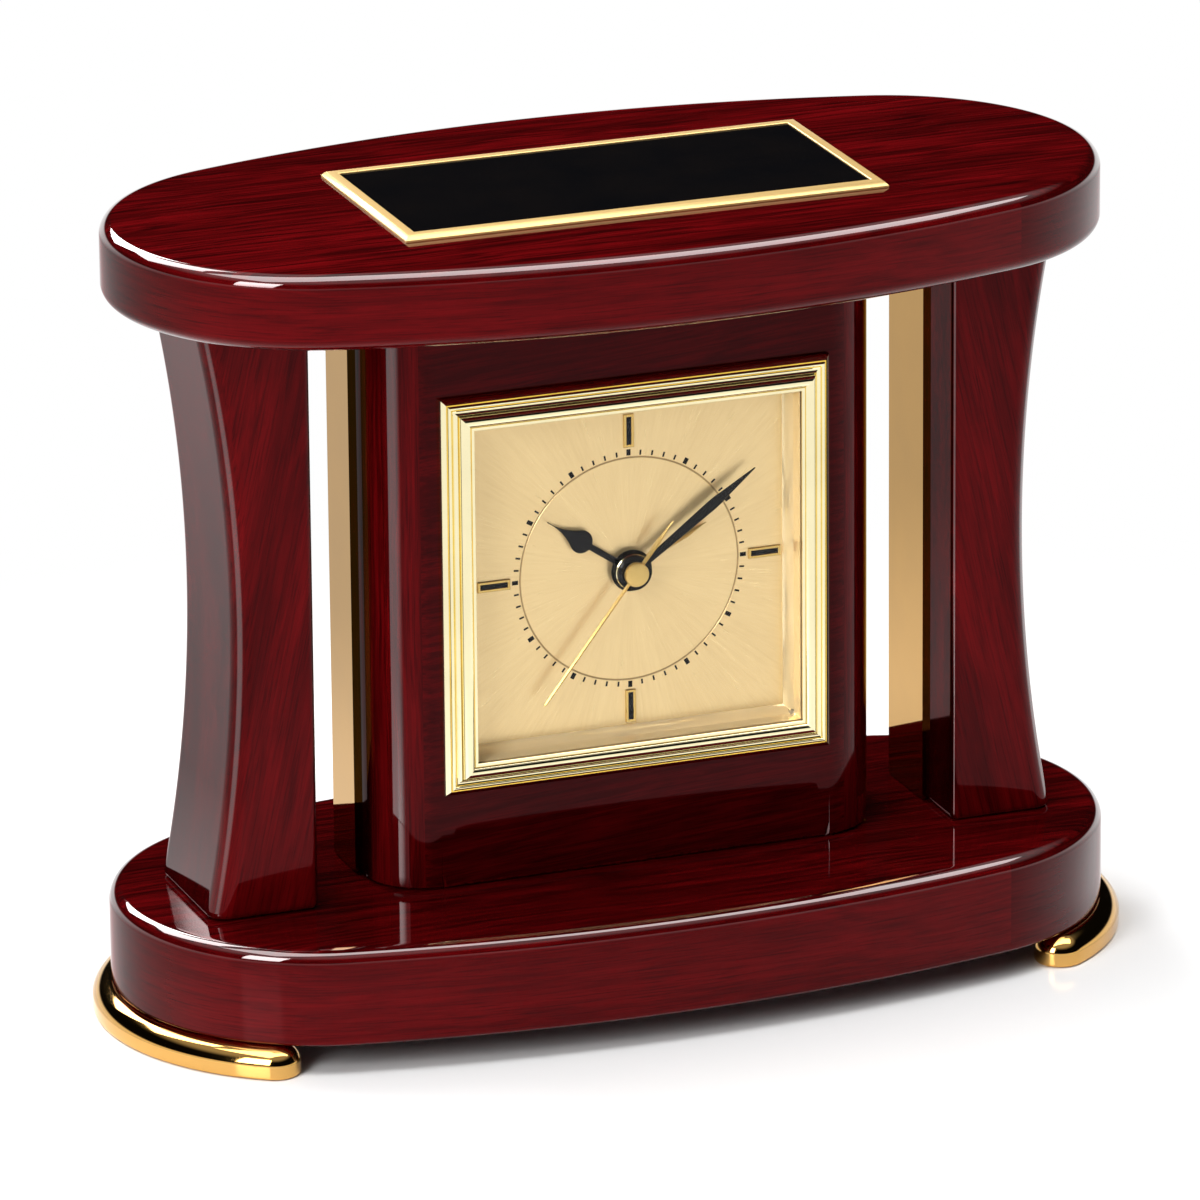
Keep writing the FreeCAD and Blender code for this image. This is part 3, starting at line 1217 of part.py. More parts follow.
NODES = {
    "base_board": base_board,
    "top_board": top_board,
    "left_column": lambda: column(-1),
    "right_column": lambda: column(1),
    "clock_block": clock_block,
    "left_column_mirror": lambda: column_mirror(-1),
    "right_column_mirror": lambda: column_mirror(1),
    "left_block_mirror": lambda: block_mirror(-1),
    "right_block_mirror": lambda: block_mirror(1),
    "left_foot": lambda: foot(-1),
    "right_foot": lambda: foot(1),
    "foot_screws": foot_screws,
    "frame_screws": frame_screws,
    "dowels": dowels,
    "engraving_plate": engraving_plate,
    "engraving_field": engraving_field,
    "bezel": bezel,
    "lens": lens,
    "dial_frame": dial_frame,
    "dial": dial,
    "marker_frames": marker_frames,
    "marker_bars": marker_bars,
    "insert_case": insert_case,
    "grip_ring": grip_ring,
    "case_screws": case_screws,
    "movement_front": movement_front,
    "movement_back": movement_back,
    "battery_cover": battery_cover,
    "battery": battery,
    "contact_plus": contact_plus,
    "contact_minus": contact_minus,
    "second_wheel": second_wheel,
    "third_wheel": third_wheel,
    "centre_wheel": centre_wheel,
    "intermediate_wheel": intermediate_wheel,
    "rotor": rotor,
    "minute_pipe": minute_pipe,
    "minute_wheel": minute_wheel,
    "hour_wheel": hour_wheel,
    "alarm_wheel": alarm_wheel,
    "time_knob": time_knob,
    "alarm_knob": alarm_knob,
    "stator": stator,
    "coil": coil,
    "circuit_board": circuit_board,
    "driver_chip": driver_chip,
    "quartz_crystal": quartz_crystal,
    "buzzer": buzzer,
    "alarm_switch": alarm_switch,
    "hour_hand": hour_hand,
    "hour_bush": hour_bush,
    "minute_hand": minute_hand,
    "second_hand": second_hand,
    "alarm_hand": alarm_hand,
}


def main():
    os.makedirs("parts", exist_ok=True)
    for name, make in NODES.items():
        shape = make()
        shape.exportStep(os.path.join("parts", name + ".step"))
        print(name, len(shape.Solids), "solids", round(shape.Volume, 1), "mm3", "valid" if shape.isValid() else "BAD")


main()
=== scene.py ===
import bmesh
import bpy
import math
import numpy as np
from mathutils import Matrix, Vector


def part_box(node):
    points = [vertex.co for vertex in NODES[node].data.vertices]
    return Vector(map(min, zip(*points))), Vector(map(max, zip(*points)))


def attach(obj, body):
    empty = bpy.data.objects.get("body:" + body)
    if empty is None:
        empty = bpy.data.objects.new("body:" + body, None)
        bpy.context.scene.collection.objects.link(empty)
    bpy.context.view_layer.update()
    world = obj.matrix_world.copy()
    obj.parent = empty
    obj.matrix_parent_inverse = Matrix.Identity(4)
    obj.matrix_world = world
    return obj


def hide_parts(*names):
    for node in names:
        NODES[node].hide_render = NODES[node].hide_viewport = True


bl_info = {
    "name": "Mantel clock in lacquered rosewood",
    "version": (1, 0, 0),
    "blender": (4, 5, 0),
    "location": "3D View > Sidebar > Mantel clock",
    "description": "Woodwork, gold trim, dial, hands and movement of a square-dial mantel clock",
    "category": "Object",
}

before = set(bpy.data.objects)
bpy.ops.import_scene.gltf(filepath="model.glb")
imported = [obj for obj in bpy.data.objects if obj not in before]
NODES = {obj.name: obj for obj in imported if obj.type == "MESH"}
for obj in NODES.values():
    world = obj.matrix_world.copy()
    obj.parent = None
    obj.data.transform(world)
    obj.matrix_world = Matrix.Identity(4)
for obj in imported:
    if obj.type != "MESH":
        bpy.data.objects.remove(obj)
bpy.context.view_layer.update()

# Millimetres everywhere below, turned into metres when a mesh is made
MM = 0.001
WELD = 1e-6
CREASE_DEG = 30.0
MITRE_GAP = 2e-3


def node_box(name):
    """Lowest and highest corners of a node of the frame, in millimetres."""
    return np.array(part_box(name), dtype=float) / MM


# Levels and planes read from the frame
BASE_LOW, BASE_HIGH = node_box("base_board")
TOP_LOW, TOP_HIGH = node_box("top_board")
COLUMN_LOW, COLUMN_HIGH = node_box("right_column")
BLOCK_LOW, BLOCK_HIGH = node_box("clock_block")
LENS_LOW, LENS_HIGH = node_box("lens")
DIAL_LOW, DIAL_HIGH = node_box("dial")
PLATE_LOW, PLATE_HIGH = node_box("engraving_plate")
FIELD_LOW, FIELD_HIGH = node_box("engraving_field")
BOARD_TOP = BASE_HIGH[2]
BOARD_UNDER = TOP_LOW[2]
DIAL_Z = (BOARD_TOP + BOARD_UNDER) / 2
BLOCK_FRONT, BLOCK_BACK = BLOCK_LOW[1], BLOCK_HIGH[1]
DIAL_FRONT, DIAL_BACK = DIAL_LOW[1], DIAL_HIGH[1]

# Woodwork: radii of roundings, the hollow of a column, and the block's pocket and bore
END_R = 50.0
BASE_UNDER_R = 1.0
FOOT_EASE = 1.6
FLAT_RIM = 0.4
COLUMN_WAIST = 7.4
COLUMN_OUTER_R = 4.5
COLUMN_INNER_R = 1.6
BLOCK_FRONT_R = 14.0
BLOCK_BACK_R = 3.0
POCKET_HALF = 42.7
POCKET_FLOOR = BLOCK_FRONT + 7.4
BORE_R = 41.8

# Feet
FOOT_LINE_R = 48.4
FOOT_HALF_W = 6.0
FOOT_CENTRE_X = 71.5
FOOT_HALF_ANGLE = 57.0

# Insert: insets from the bezel's outer edge, heights in front of the block, and the dial's print
BEZEL_HALF = 48.0
LIP_IN = 7.6
SKIRT_IN = 6.8
SKIRT_WALL = 1.2
SKIRT_DEPTH = 6.8
DIAL_OPENING = 9.8
INNER_TOP, INNER_FOOT = 2.2, -3.8
GROOVE_R = 27.05
TICK_R = 27.55
PRINT_THICK = 0.03
BATON_IN_R, BATON_OUT_R, BATON_WIDTH, BATON_BORDER = 29.6, 37.6, 2.5, 0.65

# Hands: back planes, and the shown time in degrees clockwise from the top
ALARM_Y, HOUR_Y, BUSH_Y, MINUTE_Y = -14.7, -15.5, -17.0, -17.3
MINUTE_FRONT, SECOND_Y, CAP_Y = -18.2, -18.5, -19.7
HOUR_DEG, MINUTE_DEG, SECOND_DEG, ALARM_DEG = 304.5, 54.0, 218.0, 64.0
HAND_THICK = 0.4
HAND_CUT = 0.13

# Softboxes: place, point that it faces, width and height in metres, and the setting that holds its power
SOFTBOXES = (
    ("top softbox", (0.1, -0.12, 1.3), (0.1, -0.12, 0.1), 1.8, 0.8, "top_power"),
    ("key softbox", (-1.05, -0.75, 0.75), (0, 0, 0.1), 0.5, 0.7, "key_power"),
    ("rim softbox", (-0.42, 0.68, 1.0), (0, 0, 0.1), 0.6, 0.5, "rim_power"),
    ("back softbox", (-0.2, 1.04, 0.75), (0, 0, 0.1), 0.5, 0.4, "rim_power"),
)
FLOOR_HALF = 30.0

# Camera: azimuth, elevation and roll in degrees, the point that it looks at and its distance in
# millimetres, and the focal length on a 36 mm sensor
CAMERA_ANGLES = (-20.6432, 18.5586, -0.4999)
CAMERA_AIM, CAMERA_DISTANCE = (-1.96, 0.0, 89.6), 2386.3
CAMERA_LENS = 306.54


# Surfaces as arrays

def surface(points, wrap_rows=False, wrap_cols=False):
    """Faces of a grid of points: each square joins a point to the next in its row and in its column, and
    the last row or column joins the first where it wraps."""
    rows, cols = points.shape[:2]
    row, col = np.meshgrid(np.arange(rows if wrap_rows else rows - 1),
                           np.arange(cols if wrap_cols else cols - 1), indexing="ij")
    next_row, next_col = (row + 1) % rows, (col + 1) % cols
    faces = np.stack([row * cols + col, row * cols + next_col, next_row * cols + next_col,
                      next_row * cols + col], axis=-1)
    return points.reshape(-1, 3), faces.reshape(-1, 4)


def closed(points):
    """Grid that joins up both ways, such as a moulding carried round a frame."""
    return surface(points, wrap_rows=True, wrap_cols=True)


def wrapped(points):
    """Closed rings with a map of each face's corners in metres: how far round the first ring, and how far
    along the profile from ring to ring."""
    spots, faces = surface(points, wrap_cols=True)
    rows, cols = points.shape[:2]
    ring = np.concatenate([points[rows // 2], points[rows // 2][:1]])
    round_it = np.concatenate([[0], np.cumsum(np.linalg.norm(np.diff(ring, axis=0), axis=1))])
    along = np.concatenate([[0], np.cumsum(np.linalg.norm(np.diff(points[:, 0], axis=0), axis=1))])
    row, col = np.meshgrid(np.arange(rows - 1), np.arange(cols), indexing="ij")
    u = np.stack([round_it[col], round_it[col + 1], round_it[col + 1], round_it[col]], axis=-1)
    v = np.stack([along[row], along[row], along[row + 1], along[row + 1]], axis=-1)
    return spots, faces, np.stack([u, v], axis=-1).reshape(-1, 4, 2) * MM


def joined(surfaces):
    """Surfaces put together: each one's faces count on from the points before it."""
    points, faces, maps, start = [], [], [], 0
    for shape in surfaces:
        points.append(shape[0])
        faces.append(shape[1] + start)
        maps.append(shape[2] if len(shape) > 2 else np.zeros((len(shape[1]), 4, 2)))
        start += len(shape[0])
    return np.concatenate(points), np.concatenate(faces), np.concatenate(maps)


def bow(first, middle, last, count):
    """Points on the circle through three points, from the first to the last by way of the middle: the
    centre is where the two chords' middle lines cross, and the angle runs evenly."""
    a, b, c = (np.array(p, dtype=float) for p in (first, middle, last))
    rows = 2 * np.array([b - a, c - a])
    centre = np.linalg.solve(rows, np.array([b @ b - a @ a, c @ c - a @ a]))
    turn = [math.atan2(*(p - centre)[::-1]) for p in (a, b, c)]
    ahead = (turn[1] - turn[0]) % math.tau < (turn[2] - turn[0]) % math.tau
    sweep = (turn[2] - turn[0]) % math.tau if ahead else -((turn[0] - turn[2]) % math.tau)
    angle = turn[0] + np.linspace(0, sweep, count)
    return centre + np.hypot(*(a - centre)) * np.stack([np.cos(angle), np.sin(angle)], axis=1)


def line(*points):
    """Corners of a profile as an array."""
    return np.array(points, dtype=float)


def stacked(spine, normals, reach, profile):
    """Rings one above another: each point is the spine plus its normal times the reach less the
    profile's inset, at the profile's height."""
    flat = spine[None] + normals[None] * (reach[None, :] - profile[:, :1])[..., None]
    height = np.broadcast_to(profile[:, 1:2], flat.shape[:2])
    return np.dstack([flat, height])


def turned(profile):
    """Profile of radius and Y turned about the hands' axis: x is r cos a, and z is r sin a above the
    dial's centre."""
    count = 96
    angle = np.arange(count) * math.tau / count
    radius, y = profile[:, :1], profile[:, 1:2]
    return np.stack([radius * np.cos(angle), np.broadcast_to(y, (len(profile), count)),
                     DIAL_Z + radius * np.sin(angle)], axis=-1)


def framed(half_u, half_v, profile):
    """Profile carried round a rectangle with mitred corners: a corner is at plus or minus the half side
    less the inset, and the height is the profile's."""
    signs = np.array([(-1, -1), (1, -1), (1, 1), (-1, 1)])
    u = signs[:, 0] * (half_u - profile[:, :1])
    v = signs[:, 1] * (half_v - profile[:, :1])
    return np.stack([u, v, np.broadcast_to(profile[:, 1:2], u.shape)], axis=-1)


def upright(grid):
    """Turns a grid of across, up and height into the dial's plane, with the height in front of the block."""
    return np.stack([grid[..., 0], BLOCK_FRONT - grid[..., 2], DIAL_Z + grid[..., 1]], axis=-1)


def side_steps(count):
    """Steps round a square, as the side's number and the place along it from -1 to 1."""
    step = np.arange(4 * count)
    return step // count, 2 * (step % count) / count - 1


def square_ring(half_x, half_z, y, count):
    """Ring along a rectangle in X and Z: each side runs evenly from one corner to the next."""
    side, t = side_steps(count)
    x = np.choose(side, [t, np.ones_like(t), -t, -np.ones_like(t)])
    z = np.choose(side, [-np.ones_like(t), t, np.ones_like(t), -t])
    return np.stack([half_x * x, np.full_like(x, y), DIAL_Z + half_z * z], axis=-1)


def round_ring(radius, y, count):
    """Ring along a circle whose points stand at the angles of the square ring's points."""
    side, t = side_steps(count)
    angle = (side - 1 + t / 2) * math.pi / 2
    return np.stack([radius * np.cos(angle), np.full_like(t, y), DIAL_Z + radius * np.sin(angle)], axis=-1)


def clockwise(points, degrees):
    """Turns points of across, Y and up about the dial's centre, clockwise as seen from the front."""
    turn = math.radians(degrees)
    u, y, v = points[..., 0], points[..., 1], points[..., 2]
    return np.stack([u * math.cos(turn) + v * math.sin(turn), y,
                     DIAL_Z - u * math.sin(turn) + v * math.cos(turn)], axis=-1)


def mark_mitres(mesh):
    """Marks an edge sharp where both its ends lie on the same mitre of a square frame about the dial's
    centre: there a point is as far across as it is up or down."""
    points = np.empty(3 * len(mesh.vertices), dtype=np.float32)
    mesh.vertices.foreach_get("co", points)
    place = points.reshape(-1, 3)[:, (0, 2)] / MM - (0.0, DIAL_Z)
    far = np.abs(place)
    quarter = np.sign(place) * (np.abs(far[:, :1] - far[:, 1:]) < MITRE_GAP)
    ends = np.empty(2 * len(mesh.edges), dtype=np.int32)
    mesh.edges.foreach_get("vertices", ends)
    first, last = quarter[ends[0::2]], quarter[ends[1::2]]
    marks = np.empty(len(mesh.edges), dtype=bool)
    mesh.edges.foreach_get("use_edge_sharp", marks)
    marks |= first.any(axis=1) & (first == last).all(axis=1)
    mesh.edges.foreach_set("use_edge_sharp", marks)


def piece(name, surfaces, body, finish, material, *replaced, mitred=False):
    """Makes one mesh of the surfaces, closes its seams and ends, points its faces outwards, and puts it
    on its body in place of the frame's nodes."""
    points, faces, maps = joined(surfaces)
    mesh = bpy.data.meshes.new(name)
    mesh.from_pydata((points * MM).tolist(), [], faces.tolist())
    if maps.any():
        mesh.uv_layers.new(name="Wrap").data.foreach_set("uv", maps.ravel())
    solid = bmesh.new()
    solid.from_mesh(mesh)
    bmesh.ops.remove_doubles(solid, verts=solid.verts, dist=WELD)
    rims = [edge for edge in solid.edges if edge.is_boundary]
    if rims:
        bmesh.ops.holes_fill(solid, edges=rims, sides=0)
    bmesh.ops.recalc_face_normals(solid, faces=solid.faces)
    solid.to_mesh(mesh)
    solid.free()
    if not len(mesh.polygons):
        raise RuntimeError("the piece " + name + " has no faces")
    mesh.polygons.foreach_set("use_smooth", np.ones(len(mesh.polygons), dtype=bool))
    mesh.set_sharp_from_angle(angle=math.radians(CREASE_DEG))
    if mitred:
        mark_mitres(mesh)
    mesh.update()
    thing = bpy.data.objects.new(name, mesh)
    bpy.context.scene.collection.objects.link(thing)
    mesh.materials.append(material)
    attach(thing, body)
    if replaced:
        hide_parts(*replaced)


def dress(material, *names):
    """Gives nodes of the frame a material and keeps their shape."""
    for name in names:
        thing = NODES[name]
        if not thing.material_slots:
            raise RuntimeError("the node " + name + " has no material slot")
        for slot in thing.material_slots:
            slot.material = material


# Shader helpers

def add(tree, kind, inputs=None, **settings):
    """Adds a node, sets its properties, and sets or links its inputs by name or number."""
    made = tree.nodes.new(kind)
    for key, value in settings.items():
        setattr(made, key, value)
    for key, value in (inputs or {}).items():
        if isinstance(value, bpy.types.NodeSocket):
            tree.links.new(value, made.inputs[key])
        else:
            made.inputs[key].default_value = value
    return made


def maths(tree, operation, first, second=0.0):
    """Arithmetic on values, each a number or a socket; times, plus, larger and unsigned are its kinds."""
    return add(tree, "ShaderNodeMath", {0: first, 1: second}, operation=operation).outputs[0]


def times(tree, first, second):
    """The product of two values."""
    return maths(tree, "MULTIPLY", first, second)


def plus(tree, first, second):
    """The sum of two values."""
    return maths(tree, "ADD", first, second)


def larger(tree, first, second):
    """The larger of two values."""
    return maths(tree, "MAXIMUM", first, second)


def unsigned(tree, value):
    """A value without its sign."""
    return maths(tree, "ABSOLUTE", value)


def vectors(tree, operation, vector, other):
    """Arithmetic on vectors."""
    return add(tree, "ShaderNodeVectorMath", {0: vector, 1: other}, operation=operation).outputs[0]


def parts(tree, vector):
    """A vector's X, Y and Z."""
    return add(tree, "ShaderNodeSeparateXYZ", {0: vector}).outputs


def remap(tree, value, low, high, new_low=0.0, new_high=1.0, smooth=False):
    """Carries low to high over to the new values, in a straight line or eased at both ends."""
    return add(tree, "ShaderNodeMapRange", {
        "Value": value, "From Min": low, "From Max": high, "To Min": new_low, "To Max": new_high,
    }, interpolation_type="SMOOTHSTEP" if smooth else "LINEAR").outputs["Result"]


def blend_colours(tree, factor, first, second, mode="MIX"):
    """Blends the second colour into the first by the factor."""
    inputs = {0: factor, 6: first, 7: second}
    return add(tree, "ShaderNodeMix", inputs, data_type="RGBA", blend_type=mode).outputs[2]


def noise(tree, vector, scale, detail, roughness=0.55, distortion=0.0):
    """Noise from 0 to 1, with so many patches to a unit."""
    return add(tree, "ShaderNodeTexNoise", {
        "Vector": vector, "Scale": scale, "Detail": detail, "Roughness": roughness,
        "Distortion": distortion}).outputs["Fac"]


def stretched(tree, vector, x, y, z):
    """Pattern space in which one unit is that many millimetres along each axis."""
    return add(tree, "ShaderNodeMapping", {"Vector": vector, "Scale": (1 / x, 1 / y, 1 / z)}).outputs[0]


def patches(tree, vector, size, detail, roughness, distortion=0.0):
    """Noise whose patches are about size millimetres along each axis."""
    return noise(tree, stretched(tree, vector, *size), 1.0, detail, roughness, distortion)


# Effects that several materials share: each works out its outputs from its named inputs

def grain(group, given):
    """Wood grain along X, in millimetres: long streaks, broad bands, a flame figure and short dark pores."""
    vector = given["Vector"]
    sway = patches(group, vector, (70, 22, 22), 2.0, 0.5)
    lift = add(group, "ShaderNodeVectorMath", {0: (0.0, 9.0, 9.0), "Scale": sway}, operation="SCALE")
    bent = vectors(group, "ADD", vector, lift.outputs[0])
    streaks = remap(group, patches(group, bent, (46, 1.3, 1.3), 6.0, 0.62), 0.4, 0.62)
    pores = remap(group, patches(group, vector, (14, 0.42, 0.42), 3.0, 0.6), 0.48, 0.72, 0.0, 0.65)
    bands = remap(group, patches(group, bent, (130, 11, 11), 3.0, 0.5), 0.36, 0.66, 0.0, 0.6, smooth=True)
    level = vectors(group, "MULTIPLY", vector, (0.0, 1.0, 1.0))
    figure = add(group, "ShaderNodeTexWave", {
        "Vector": stretched(group, level, 1, 26, 26), "Scale": 1.0, "Distortion": 5.0, "Detail": 3.0,
        "Detail Scale": 0.8, "Detail Roughness": 0.5}, wave_type="BANDS", bands_direction="Y").outputs["Fac"]
    flame = remap(group, patches(group, vector, (44, 10, 10), 3.0, 0.55, 1.2), 0.4, 0.68, smooth=True)
    warm = times(group, times(group, flame, plus(group, figure, 0.35)), given["Figure"])
    colour = blend_colours(group, bands, given["Body"], given["Glow"])
    colour = blend_colours(group, warm, colour, given["Glow"])
    colour = blend_colours(group, times(group, streaks, given["Streaks"]), colour, given["Streak"])
    colour = blend_colours(group, pores, colour, given["Streak"])
    rough = remap(group, patches(group, vector, (18, 18, 18), 3.0, 0.6), 0.3, 0.7, 0.035, 0.075)
    return colour, rough, times(group, patches(group, vector, (30, 12, 12), 2.0, 0.5), 0.06)


def polish(group, given):
    """Polished metal or lacquer: cloudy changes of roughness and tone, and hairline marks."""
    vector = given["Vector"]
    cloud = patches(group, vector, (16, 16, 16), 4.0, 0.6)
    lines = patches(group, vector, (9, 0.35, 5), 2.0, 0.5)
    cross = patches(group, vector, (0.4, 7, 9), 2.0, 0.5)
    marks = times(group, remap(group, larger(group, lines, cross), 0.62, 0.8), given["Marks"])
    share = plus(group, times(group, cloud, 0.7), times(group, marks, 0.5))
    rough = add(group, "ShaderNodeMix", {0: share, 2: given["Smooth"], 3: given["Dull"]}, data_type="FLOAT")
    tone = remap(group, cloud, 0.3, 0.7, 0.0, 0.07)
    colour = blend_colours(group, tone, given["Color"], (0.02, 0.012, 0.006, 1))
    height = maths(group, "SUBTRACT", times(group, cloud, 0.08), times(group, marks, 0.05))
    return colour, rough.outputs[0], height


def moulded(group, given):
    """Moulded plastic or rubber: a fine stipple, faint flow marks and slightly uneven gloss."""
    vector = given["Vector"]
    stipple = patches(group, vector, (0.5, 0.5, 0.5), 2.0, 0.6)
    flow = patches(group, vector, (14, 9, 22), 3.0, 0.55, 0.8)
    tone = remap(group, flow, 0.35, 0.7, 0.0, 0.25)
    colour = blend_colours(group, tone, given["Color"], (0.25, 0.24, 0.23, 1), "SOFT_LIGHT")
    rough = plus(group, given["Gloss"], remap(group, flow, 0.3, 0.7, -0.05, 0.07))
    return colour, rough, times(group, stipple, given["Stipple"])


def brushed_rays(group, given):
    """Brushing that runs out from a centre: noise of the angle only, with a slow change along the radius."""
    split = parts(group, given["Vector"])
    across, up = split["X"], split["Z"]
    radius = maths(group, "SQRT", plus(group, times(group, across, across), times(group, up, up)))
    safe = larger(group, radius, 0.01)
    way = add(group, "ShaderNodeCombineXYZ", {
        0: maths(group, "DIVIDE", across, safe), 1: maths(group, "DIVIDE", up, safe),
        2: times(group, radius, 0.0015)}).outputs[0]
    rays = noise(group, way, 48.0, 5.0, 0.7)
    broad = noise(group, way, 3.2, 3.0, 0.5)
    fine = noise(group, way, 150.0, 3.0, 0.6)
    mix = plus(group, times(group, rays, 0.55), times(group, fine, 0.45))
    tone = plus(group, times(group, remap(group, mix, 0.34, 0.66), given["Depth"]),
                remap(group, broad, 0.38, 0.62, 0.0, 0.07))
    dark = blend_colours(group, 1.0, given["Color"], (0.62, 0.5, 0.38, 1), "MULTIPLY")
    colour = blend_colours(group, tone, given["Color"], dark)
    # Painted shade: the colour darkens within a few tenths of a millimetre of the groove's radius
    away = unsigned(group, maths(group, "SUBTRACT", radius, given["Groove"]))
    colour = blend_colours(group, remap(group, away, 0.3, 0.1, 0.0, 0.7), colour, (0.2, 0.1, 0.03, 1))
    return colour, plus(group, given["Gloss"], remap(group, mix, 0.3, 0.7, -0.05, 0.08)), mix


EFFECTS = {
    "Lacquered grain": (grain, {
        "Body": (0.1, 0.004, 0.008, 1), "Streak": (0.03, 0.001, 0.002, 1), "Glow": (0.2, 0.01, 0.015, 1),
        "Figure": 0.4, "Streaks": 0.7}),
    "Polish marks": (polish, {"Color": (0.8, 0.6, 0.3, 1), "Smooth": 0.06, "Dull": 0.12, "Marks": 0.4}),
    "Moulded surface": (moulded, {"Color": (0.02, 0.02, 0.02, 1), "Gloss": 0.4, "Stipple": 0.35}),
    "Sunburst brushing": (brushed_rays, {
        "Color": (0.8, 0.6, 0.3, 1), "Depth": 0.3, "Gloss": 0.3, "Groove": 24.0}),
}
GROUPS = {}
MADE = {}


def effect_group(name):
    """Shader group of an effect, built once: named inputs with their defaults, and the outputs Color,
    Roughness and Height."""
    if name in GROUPS:
        return GROUPS[name]
    recipe, inputs = EFFECTS[name]
    group = bpy.data.node_groups.new(name, "ShaderNodeTree")
    group.interface.new_socket(name="Vector", in_out="INPUT", socket_type="NodeSocketVector")
    for label, default in inputs.items():
        kind = "NodeSocketColor" if isinstance(default, tuple) else "NodeSocketFloat"
        socket = group.interface.new_socket(name=label, in_out="INPUT", socket_type=kind)
        socket.default_value = default
    outputs = {"Color": "NodeSocketColor", "Roughness": "NodeSocketFloat", "Height": "NodeSocketFloat"}
    for label, kind in outputs.items():
        group.interface.new_socket(name=label, in_out="OUTPUT", socket_type=kind)
    results = recipe(group, group.nodes.new("NodeGroupInput").outputs)
    add(group, "NodeGroupOutput", dict(zip(outputs, results)))
    GROUPS[name] = group
    return group


# Materials

def made_once(fill):
    """A material of a name is made once: fill gets its empty node tree, and later calls hand it out."""
    def make(name, *values, **more):
        if name not in MADE:
            MADE[name] = bpy.data.materials.new(name)
            MADE[name].use_nodes = True
            MADE[name].node_tree.nodes.clear()
            fill(MADE[name].node_tree, *values, **more)
        return MADE[name]
    return make


def place_in_mm(tree, turn=(0.0, 0.0, 0.0), centre=(0.0, 0.0, 0.0)):
    """Object coordinates in millimetres, about a centre and turned by Euler angles in degrees."""
    where = tree.nodes.new("ShaderNodeTexCoord").outputs["Object"]
    moved = vectors(tree, "SUBTRACT", where, tuple(c * MM for c in centre))
    return add(tree, "ShaderNodeMapping", {
        "Vector": moved, "Rotation": tuple(math.radians(t) for t in turn), "Scale": (1 / MM,) * 3}).outputs[0]


def effect(tree, name, inputs, vector=None):
    """Outputs of an effect placed in a material and read in object millimetres, or in a given space."""
    inputs = {"Vector": vector or place_in_mm(tree), **inputs}
    return add(tree, "ShaderNodeGroup", inputs, node_tree=effect_group(name)).outputs


def surfaced(tree, look, values, bump, reach=0.0002):
    """Principled surface whose colour, roughness and bump come from an effect's look, and whose other
    values are set on its own sockets."""
    relief = add(tree, "ShaderNodeBump", {"Height": look["Height"], "Strength": bump, "Distance": reach})
    shader = add(tree, "ShaderNodeBsdfPrincipled", {
        "Base Color": look["Color"], "Roughness": look["Roughness"], "Normal": relief.outputs[0], **values})
    add(tree, "ShaderNodeOutputMaterial", {"Surface": shader.outputs[0]})


def opaque(colour):
    """Colour with full alpha."""
    return (colour[0], colour[1], colour[2], 1.0)


def grain_space(tree, way, turn, normal):
    """Where the grain is read. On a board's side it runs round the wrap map, and on its top straight
    along; on the block's front it lies level, and on its corners and sides it stands up."""
    main = place_in_mm(tree, turn)
    if way == "plain":
        return main
    if way == "wrap":
        lain = add(tree, "ShaderNodeMapping", {
            "Vector": add(tree, "ShaderNodeUVMap", uv_map="Wrap").outputs[0], "Rotation": (math.pi / 2, 0, 0),
            "Scale": (1 / MM,) * 3}).outputs[0]
        share = maths(tree, "LESS_THAN", unsigned(tree, normal["Z"]), 0.72)
    else:
        lain = place_in_mm(tree, (0, 4, 0))
        share = maths(tree, "LESS_THAN", normal["Y"], -0.96)
    return add(tree, "ShaderNodeMix", {0: share, 4: main, 5: lain}, data_type="VECTOR").outputs[1]


